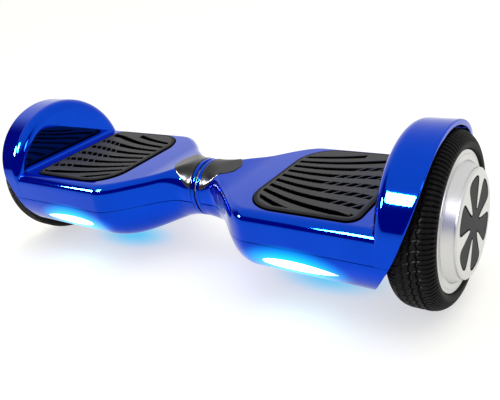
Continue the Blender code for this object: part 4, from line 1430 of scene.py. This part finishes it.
@dataclass
class Wheel:
    """Tyre with its tread, turned hub and the star inlaid in the hub's face."""

    side: Side
    centre_u: float = 260.0
    radius: float = 82.5
    half_width: float = 22.0
    crown: float = 6.6
    shoulder_drop: float = 13.2
    tread: Tread = Tread()
    tread_from: float = 68.0        # radius from which the tyre has grooves
    segment_steps: int = 18
    face_u: float = 292.0
    face_radius: float = 50.0
    flange_u: float = 280.3
    flange_radius: float = 64.7
    drum_flare: float = 5.5
    badge_reach: float = 42.5
    badge_valley: float = 12.5
    badge_gap: float = 1.4
    badge_thickness: float = 1.5

    def build(self, tree: Repeater) -> None:
        """Build and dress the wheel's visible pieces.

        Args:
            tree: the tree that repeats the tread segment.
        """
        tag = self.side.tag
        body = f"{tag}_wheel"
        set_piece(self.tyre(tree), FINISH.tyre, body, [f"tyre_{tag}"])
        set_piece(self.hub(), FINISH.turned, body, [f"hub_shell_{tag}"])
        set_piece(self.badge(), FINISH.grey, body, [f"hub_badge_{tag}"])
        # a black sheet paints the shade in the gap round the star
        set_piece(self.gasket(), FINISH.gasket, body, [])

    def tyre_profile(self) -> list[Pair]:
        """The tyre's closed section.

        Returns:
            Points as (along from the wheel's middle, radius).
        """
        half, drop = self.half_width, self.shoulder_drop
        outer = [(17.0, 62.4), (17.2, 65.2), (20.2, 65.6), (21.3, 66.4), (21.8, 67.8)]
        shoulder = arc((self.crown, self.radius - drop), (half - self.crown, drop), 0, 90, 26)
        crown = [(self.crown * t, self.radius) for t in (0.85, 0.68, 0.5, 0.33, 0.16)]
        run = outer + shoulder + crown
        return run + [(0.0, self.radius)] + [(-a, r) for a, r in reversed(run)]

    def tyre(self, tree: Repeater) -> bpy.types.Object:
        """The tyre, its tread segment repeated round the axle line.

        Args:
            tree: the tree that repeats the segment.

        Returns:
            The finished mesh object.
        """
        profile = self.tyre_profile()
        pitch = 2 * math.pi * self.radius / self.tread.segments
        bm = bmesh.new()
        rows = []
        for i in range(self.segment_steps + 1):
            phase = i / self.segment_steps
            angle = 2 * math.pi * phase / self.tread.segments
            row = []
            for along, radius in profile:
                grooved = radius > self.tread_from
                depth = self.tread.depth_at(along, radius, phase, pitch) if grooved else 0.0
                inward = Vector((along, radius - (self.radius - self.shoulder_drop))).normalized() * depth
                a, r = (along - inward.x) * MM, (radius - inward.y) * MM
                row.append(bm.verts.new((self.side.value * a, -r * math.sin(angle), r * math.cos(angle))))
            rows.append(row)
        for row, following in zip(rows, rows[1:]):
            for i in range(len(row)):
                bm.faces.new((row[i - 1], row[i], following[i], following[i - 1]))
        segment = to_mesh("tread_segment", bm, 50.0)
        carrier = in_scene(f"treaded_tyre_{self.side.tag}", bpy.data.meshes.new("carrier"))
        tree.run(carrier, {"Segment": segment, "Count": self.tread.segments,
                           "Material": FINISH.tyre.material()})
        bpy.data.objects.remove(segment, do_unlink=True)
        place = Matrix.Translation((self.side.value * self.centre_u * MM, 0.0, AXLE_HEIGHT * MM))
        bm = bmesh.new()
        bm.from_mesh(carrier.data)
        bm.transform(place)
        bmesh.ops.recalc_face_normals(bm, faces=bm.faces)
        bm.to_mesh(carrier.data)
        bm.free()
        carrier.data.shade_smooth()
        carrier.data.set_sharp_from_angle(angle=math.radians(50.0))
        return carrier

    def hub(self) -> bpy.types.Object:
        """The turned hub shell with the star's pocket in its face.

        Returns:
            The finished mesh object.
        """
        face, disc = self.face_u, self.face_radius
        flange, rim = self.flange_u, self.flange_radius
        inner = self.centre_u - 20.5
        profile = [(face, 0.0), (face, 20.0), (face, disc - 1.9), (face - 0.06, disc - 1.6)]
        profile += arc((face - 1.6, disc - 1.6), (1.5, 1.5), 75, 90, 2) + [(face - 3.0, disc)]
        foot = disc + self.drum_flare
        profile += [(flange + 1.2, foot - 0.6)] + arc((flange + 0.8, foot + 0.4), (0.8, 0.8), 250, 180, 4)
        step = flange - 0.45
        profile += [(flange, foot + 1.6), (flange, rim - 4.0), (step, rim - 3.6), (step, rim - 1.5)]
        profile += arc((flange - 1.35, rim - 0.9), (0.9, 0.9), 0, 90, 5)
        profile += [(flange - 3.0, rim), (flange - 3.0, 62.0), (inner + 3.0, 62.0), (inner + 3.0, rim),
                    (inner + 0.4, rim), (inner, rim - 0.4), (inner, 59.0), (flange - 4.0, 59.0),
                    (flange - 4.0, disc - 4.0), (face - 4.0, disc - 4.0), (face - 4.0, 0.0)]
        hub = lathe(f"turned_hub_{self.side.tag}", profile, on_axle(self.side), 144)
        depth = self.badge_thickness + 0.6
        tool = prism("star_pocket", self.star(self.badge_gap), -depth, 1.0, self.face_place())
        return even_normals(cut(hub, tool), 25.0)

    def face_place(self) -> Matrix:
        """Place whose local Z points out of the hub's face and whose origin lies in the face."""
        turn = Matrix.Rotation(self.side.value * math.pi / 2, 4, "Y")
        return Matrix.Translation((self.side.value * self.face_u * MM, 0.0, AXLE_HEIGHT * MM)) @ turn

    def star(self, grown: float) -> list[Pair]:
        """Outline of the six-legged star.

        Args:
            grown: how far the outline stands outside the inlay.

        Returns:
            Points in the face's plane, in millimetres.
        """
        full = self.badge_reach
        reach, base, tip, corner = full + grown, 0.15 * full, 0.285 * full, 0.10 * full
        half = [(blend(0.44 * full, 0.84 * full, i / 6), blend(base, tip, i / 6) + grown) for i in range(7)]
        half += arc((0.87 * full, tip - corner), (corner + grown, corner + grown), 72, 18, 6)
        crown = math.asin((tip - corner) / reach)
        half += [(reach * math.cos(crown * t), reach * math.sin(crown * t)) for t in (0.9, 0.6, 0.3)]
        leg = [(a, -b) for a, b in half] + [(reach, 0.0)] + half[::-1]
        round_off = 2.4
        radius = round_off - grown
        hollow = arc((self.badge_valley + round_off, 0.0), (radius, radius), 255, 105, 8)
        points = []
        for degrees in range(0, 360, 60):
            points += turned(hollow, math.radians(degrees - 30)) + turned(leg, math.radians(degrees))
        return points

    def badge(self) -> bpy.types.Object:
        """The grey star inlaid in the hub's face.

        Returns:
            The finished mesh object.
        """
        low = -self.badge_thickness - 0.3
        badge = prism(f"star_inlay_{self.side.tag}", self.star(0.0), low, -0.25, self.face_place())
        bevel = badge.modifiers.new("edge", "BEVEL")
        bevel.width = 0.25 * MM
        bevel.segments = 2
        bevel.limit_method = "ANGLE"
        return even_normals(baked(badge), 40.0)

    def gasket(self) -> bpy.types.Object:
        """A black sheet under the inlay that paints the shade in the gap round it.

        Returns:
            The finished mesh object.
        """
        low = -self.badge_thickness - 0.55
        outline = self.star(self.badge_gap - 0.04)
        return prism(f"star_gasket_{self.side.tag}", outline, low, -0.4, self.face_place())


@dataclass
class CoverScrews:
    """Countersunk cross-recess screws under one half."""

    side: Side
    head_radius: float = 3.1
    belly_z: float = 32.5
    places: list[Pair] = field(default_factory=lambda: [
        (90.0, 0.0), (204.0, 38.0), (204.0, -38.0), (90.0, 34.0), (90.0, -34.0), (130.0, 41.0),
        (130.0, -41.0), (168.0, 41.0), (168.0, -41.0), (204.0, 0.0)])

    def build(self, tree: Repeater) -> None:
        """Build and dress the screws.

        Args:
            tree: the tree that sets a part on points.
        """
        tag = self.side.tag
        mesh = bpy.data.meshes.new("screw_places")
        height = (self.belly_z - 0.05) * MM
        mesh.from_pydata([(self.side.value * u * MM, y * MM, height) for u, y in self.places], [], [])
        screws = in_scene(f"belly_screws_{tag}", mesh)
        screw = self.screw()
        tree.run(screws, {"Part": screw, "Size": 1.0, "Material": FINISH.steel.material()})
        bpy.data.objects.remove(screw, do_unlink=True)
        nodes = [f"cover_screw_{tag}_{i}" for i in (1, 2, 3)]
        set_piece(screws, FINISH.steel, f"{tag}_half", nodes)

    def screw(self) -> bpy.types.Object:
        """One screw, its head down and flush, with a cross recess.

        Returns:
            The screw's object.
        """
        r = self.head_radius
        profile = [(0.0, 0.0), (0.0, r - 0.25), (-0.2, r), (-1.4, 1.6), (-6.0, 1.5), (-6.0, 0.0)]
        screw = lathe("cross_recess_screw", profile, Matrix.Rotation(math.pi / 2, 4, "Y"), 24)
        for x, y in ((1.9, 0.42), (0.42, 1.9)):
            outline = [(-x, -y), (x, -y), (x, y), (-x, y)]
            cut(screw, prism("recess", outline, -1.0, 0.9, Matrix.Identity(4)))
        return screw


@dataclass
class RearControls:
    """Power button and charging socket with its cap, on the rear of the right half."""

    button_u: float = 150.0
    socket_u: float = 186.0
    z: float = 62.5
    housing_face: float = 86.8
    socket_face: float = 85.6
    housing_radius: float = 9.7
    button_radius: float = 7.0
    cap_radius: float = 10.2

    def place(self, u: float, y: float) -> Matrix:
        """Place for a lathe whose axis runs out of the rear face, from a given depth."""
        return Matrix.Translation((u * MM, y * MM, self.z * MM)) @ Matrix.Rotation(math.pi / 2, 4, "Z")

    def turned_piece(self, name: str, profile: Sequence[Pair], u: float, y: float) -> bpy.types.Object:
        """A turned piece of the rear face.

        Args:
            name: its name.
            profile: (along outwards, radius) in millimetres.
            u: its place along the board.
            y: where its profile counts from.

        Returns:
            The finished mesh object.
        """
        return even_normals(lathe(name, profile, self.place(u, y), 72))

    def build(self, tree: Repeater) -> None:
        """Build and dress the pieces.

        Args:
            tree: the tree that sets a part on points.
        """
        half = "right_half"
        r, bore = self.housing_radius, self.button_radius + 0.3
        ring = [(-10.5, 0.0), (-10.5, r)] + arc((-0.9, r - 0.9), (0.9, 0.9), 90, 0, 5)
        ring += arc((-0.6, bore + 0.6), (0.6, 0.6), 0, -90, 4) + [(-9.0, bore), (-9.0, 0.0)]
        bezel = self.turned_piece("button_bezel", ring[::-1], self.button_u, self.housing_face)
        set_piece(bezel, FINISH.plastic, half, ["button_housing"])
        b = self.button_radius
        knob = [(0.15, 0.0), (0.2, 2.5), (0.45, 4.5), (0.7, b - 0.9), (0.5, b - 0.3), (0.0, b), (-6.4, b),
                (-6.4, 0.0)]
        button = self.turned_piece("steel_button", knob, self.button_u, self.housing_face)
        set_piece(button, FINISH.button, "power_button", ["power_button"])
        set_piece(self.socket(tree), FINISH.plastic, half, ["charge_socket"])
        set_piece(self.cap(), FINISH.plastic, "charge_cap", ["charge_cap"])

    def socket(self, tree: Repeater) -> bpy.types.Object:
        """The socket: a collar, a bore with a key rib, and three contact pins.

        Args:
            tree: the tree that sets a part on points.

        Returns:
            The finished mesh object.
        """
        r, bore, depth = self.housing_radius, 5.5, 12.5
        collar = [(-depth, 0.0), (-depth, bore), (-0.5, bore), (0.0, bore + 0.5), (0.0, r - 0.8),
                  (-0.4, r - 0.2), (-0.8, r), (-14.0, r), (-14.0, 0.0)]
        socket = self.turned_piece("socket_collar", collar, self.socket_u, self.socket_face)
        tip = [(5.0, 0.0), (4.8, 0.6), (4.2, 0.9), (0.0, 0.9), (0.0, 0.0)]
        pin = even_normals(lathe("contact_pin", tip, Matrix.Rotation(math.pi / 2, 4, "Z"), 16))
        places = bpy.data.meshes.new("pin_places")
        y, circle = self.socket_face - depth - 0.2, 2.6
        angles = [math.radians(degrees) for degrees in (90, 210, 330)]
        spots = [(self.socket_u + circle * math.cos(a), y, self.z + circle * math.sin(a)) for a in angles]
        places.from_pydata([tuple(c * MM for c in spot) for spot in spots], [], [])
        pins = in_scene("contact_pins", places)
        tree.run(pins, {"Part": pin, "Size": 1.0, "Material": FINISH.steel.material()})
        bpy.data.objects.remove(pin, do_unlink=True)
        set_piece(pins, FINISH.steel, "right_half", [])
        return socket

    def cap(self) -> bpy.types.Object:
        """The socket's hinged cap with a finger lip and its hinge ear.

        Returns:
            The finished mesh object.
        """
        r, base = self.cap_radius, self.socket_face + 0.3
        thick, edge = 1.8, 0.7
        lid = [(0.0, 0.0), (0.0, r)] + arc((thick - edge, r - edge), (edge, edge), 90, 0, 4)
        lid += [(thick, r - 2.4), (thick - 0.3, r - 2.9), (thick - 0.3, 0.0)]
        cap = self.turned_piece("socket_cap", lid[::-1], self.socket_u, base)
        bm = bmesh.new()
        bm.from_mesh(cap.data)
        ear, lip = (4.0, 8.0, 11.5), (3.0, -r + 0.2, -r + 2.2)
        for half, low, high in (ear, lip):
            corners = [(-half, low), (half, low), (half, high), (-half, high)]
            rings = [[((self.socket_u + x) * MM, (base + y) * MM, (self.z + z) * MM) for x, z in corners]
                     for y in (0.05, thick)]
            add_rings(bm, rings)
        bpy.data.objects.remove(cap, do_unlink=True)
        return even_normals(to_mesh("hinged_cap", bm))


@dataclass
class InnerParts:
    """Frame parts that keep their own shape and only get a finish."""

    finishes: dict[str, Finish] = field(default_factory=lambda: {
        "axle": FINISH.steel,
        "axle_clamp": FINISH.cast,
        "chassis": FINISH.cast,
        "hub_inner_cover": FINISH.cast,
        "heat_plate": FINISH.cast,
        "bearing": FINISH.steel,
        "magnet_ring": FINISH.steel,
        "pivot_shaft": FINISH.steel,
        "pivot_clip": FINISH.steel,
        "pivot_bush": FINISH.bronze,
        "stator": FINISH.copper,
        "balance_board": FINISH.board,
        "lamp_board": FINISH.board,
        "control_board": FINISH.board,
        "battery_pack": FINISH.wrap,
    })

    def build(self) -> None:
        """Give every frame part that is still shown its finish; the last name that fits counts."""
        for name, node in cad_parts.items():
            finish = FINISH.plastic
            for start, choice in self.finishes.items():
                if name.startswith(start):
                    finish = choice
            node.data.materials.clear()
            node.data.materials.append(finish.material())
        LOG.info("%d frame parts dressed", len(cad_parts))


# Studio

@dataclass(frozen=True)
class AreaLight:
    """A square light that shines on the surfaces, shows as a glint in them, or does both."""

    name: str
    place: Point                    # in metres
    target: Point                   # in metres
    width: float                    # in metres
    power: float                    # in watts
    colour: str = "FFFFFF"
    shines: bool = True
    glints: bool = True

    def hang(self) -> None:
        """Add the light to the scene, pointed at its target."""
        data = bpy.data.lights.new(self.name, "AREA")
        data.size = self.width
        data.energy = self.power
        data.color = linear(self.colour)[:3]
        light = in_scene(self.name, data)
        light.location = self.place
        light.rotation_euler = (Vector(self.target) - Vector(self.place)).to_track_quat("-Z", "Y").to_euler()
        light.visible_diffuse = self.shines
        light.visible_glossy = self.glints


@dataclass
class Studio:
    """Pale floor, soft light and the camera; its lengths are in metres unless a note says otherwise."""

    azimuth: float = 38.06          # degrees
    elevation: float = 24.44        # degrees
    roll: float = -9.42             # degrees
    eye: Point = (0.4360, -0.4929, 0.3571)
    lens: float = 45.1              # focal length in millimetres
    floor_size: float = 7.0
    # colour of the small lamps under the lenses, and of the pool of their light painted on the floor
    glow: str = "7CE4F2"
    glow_centre: Point = (144.0, -8.0, 0.0)         # middle of the painted pool of the right lamp's light, in millimetres
    glow_reach: Point = (80.0, 40.0, 0.0)           # reach of that painted pool, in millimetres
    paper: str = "BAB8AA"
    white: str = "FFFFFF"
    paper_light: float = 0.62       # the lit backdrop's own share of the floor's brightness
    # Sky colours by the upward share of the direction.
    sky_bands: tuple[tuple[float, str], ...] = ((0.06, "F4F4F4"), (0.11, "30309D"), (0.58, "30309D"),
                                                (0.66, "F4F4F4"))
    front: Pair = (0.25, -0.15)     # share of +y in a direction where the bands start and where they are full
    soft_boxes: tuple[AreaLight, ...] = (
        AreaLight("overhead_box", (0.2, 0.1, 1.9), (0.0, 0.0, 0.0), 1.7, 14.0, glints=False),
        AreaLight("front_glint", (-0.6, -1.5, 1.55), (0.2, 0.0, 0.05), 0.42, 220.0, shines=False),
        AreaLight("shoulder_glint", (-1.5, -1.1, 1.0), (0.0, 0.0, 0.05), 0.30, 110.0, shines=False),
        AreaLight("side_glint", (2.0, -0.6, 1.1), (0.2, 0.0, 0.1), 0.4, 9.0, shines=False),
    )
    lamp_place: Point = (0.155, -0.088, 0.046)
    lamp_target: Point = (0.155, -0.080, 0.0)
    lamp_width: float = 0.05
    lamp_power: float = 0.015       # watts

    def build(self) -> None:
        """Build the floor, the sky, the lights and the camera."""
        self.floor()
        self.sky()
        self.lights()
        self.camera()

    def camera(self) -> None:
        """Place the camera."""
        az, el, roll = [math.radians(v) for v in (self.azimuth, self.elevation, self.roll)]
        forward = Vector((-math.sin(az) * math.cos(el), math.cos(az) * math.cos(el), -math.sin(el)))
        right = Vector((math.cos(az), math.sin(az), 0.0))
        up = right.cross(forward)
        across = right * math.cos(roll) + up * math.sin(roll)
        above = up * math.cos(roll) - right * math.sin(roll)
        data = bpy.data.cameras.new("camera")
        data.lens = self.lens
        data.clip_start = 0.01
        camera = in_scene("camera", data)
        turn = Matrix((across, above, -forward)).transposed().to_4x4()
        camera.matrix_world = Matrix.Translation(self.eye) @ turn
        bpy.context.scene.camera = camera
        bpy.context.scene.view_settings.view_transform = "Standard"

    def floor(self) -> None:
        """Lay the pale floor, with a painted pool of the lamps' light under each lens, in both its colour and
        its own glow.
        """
        bm = bmesh.new()
        bmesh.ops.create_grid(bm, x_segments=1, y_segments=1, size=self.floor_size)
        floor = to_mesh("studio_floor", bm)
        material = bpy.data.materials.new("studio_paper")
        material.use_nodes = True
        tree = material.node_tree
        shader = tree.nodes["Principled BSDF"]
        shader.inputs["Roughness"].default_value = 0.9
        shader.inputs["Specular IOR Level"].default_value = 0.0
        shader.inputs["Emission Strength"].default_value = self.paper_light
        coords = add_node(tree, "ShaderNodeTexCoord").outputs["Object"]
        distance = lamp_distance(tree, coords, self.glow_centre, self.glow_reach)
        # painted pool of lamp light: the paper's colour and its own glow turn to the lamps' colour near each
        # lens
        near = add_node(tree, "ShaderNodeMapRange", {"interpolation_type": "SMOOTHSTEP"},
                        {"From Min": 1.0, "From Max": 0.1}, {"Value": distance})
        for colour, socket in ((self.paper, "Base Color"), (self.white, "Emission Color")):
            mix = add_node(tree, "ShaderNodeMix", {"data_type": "RGBA"},
                           {6: linear(colour), 7: linear(self.glow)}, {0: near.outputs[0]})
            tree.links.new(mix.outputs[2], shader.inputs[socket])
        floor.data.materials.append(material)

    def sky(self) -> None:
        """Fill the surroundings with white, with a darker band low down that shows in the mirror lacquer."""
        world = bpy.data.worlds.new("white_studio")
        world.use_nodes = True
        tree = world.node_tree
        direction = add_node(tree, "ShaderNodeTexCoord").outputs["Generated"]
        split = add_node(tree, "ShaderNodeSeparateXYZ", links={0: direction})
        ramp = add_node(tree, "ShaderNodeValToRGB", links={"Fac": split.outputs["Z"]})
        ramp.color_ramp.interpolation = "EASE"
        for element, position in zip(ramp.color_ramp.elements, (0.0, 1.0)):
            element.position = position
            element.color = linear(self.white)
        for position, colour in self.sky_bands:
            ramp.color_ramp.elements.new(position).color = linear(colour)
        start, full = self.front
        forward = add_node(tree, "ShaderNodeMapRange", {"interpolation_type": "SMOOTHSTEP"},
                           {"From Min": start, "From Max": full}, {"Value": split.outputs["Y"]})
        mix = add_node(tree, "ShaderNodeMix", {"data_type": "RGBA"}, {6: linear(self.white)},
                       {0: forward.outputs[0], 7: ramp.outputs["Color"]})
        tree.links.new(mix.outputs[2], tree.nodes["Background"].inputs["Color"])
        bpy.context.scene.world = world

    def lights(self) -> None:
        """Hang the soft boxes and the small lamps under the lenses."""
        for box in self.soft_boxes:
            box.hang()
        for side in Side:
            place, target = [(side.value * x, y, z) for x, y, z in (self.lamp_place, self.lamp_target)]
            name = f"lamp_light_{side.tag}"
            AreaLight(name, place, target, self.lamp_width, self.lamp_power, self.glow).hang()


def main() -> None:
    """Build the board's looks, half by half, then the studio."""
    logging.basicConfig(level=logging.INFO, format="%(name)s: %(message)s")
    round_axle, on_points = round_axle_tree(), on_points_tree()
    InnerParts().build()
    for side in Side:
        Covers(side).build()
        Lamp(side).build()
        FootPad(side).build()
        Wheel(side).build(round_axle)
        CoverScrews(side).build(on_points)
    RearControls().build(on_points)
    Studio().build()


if __name__ == "__main__":
    main()
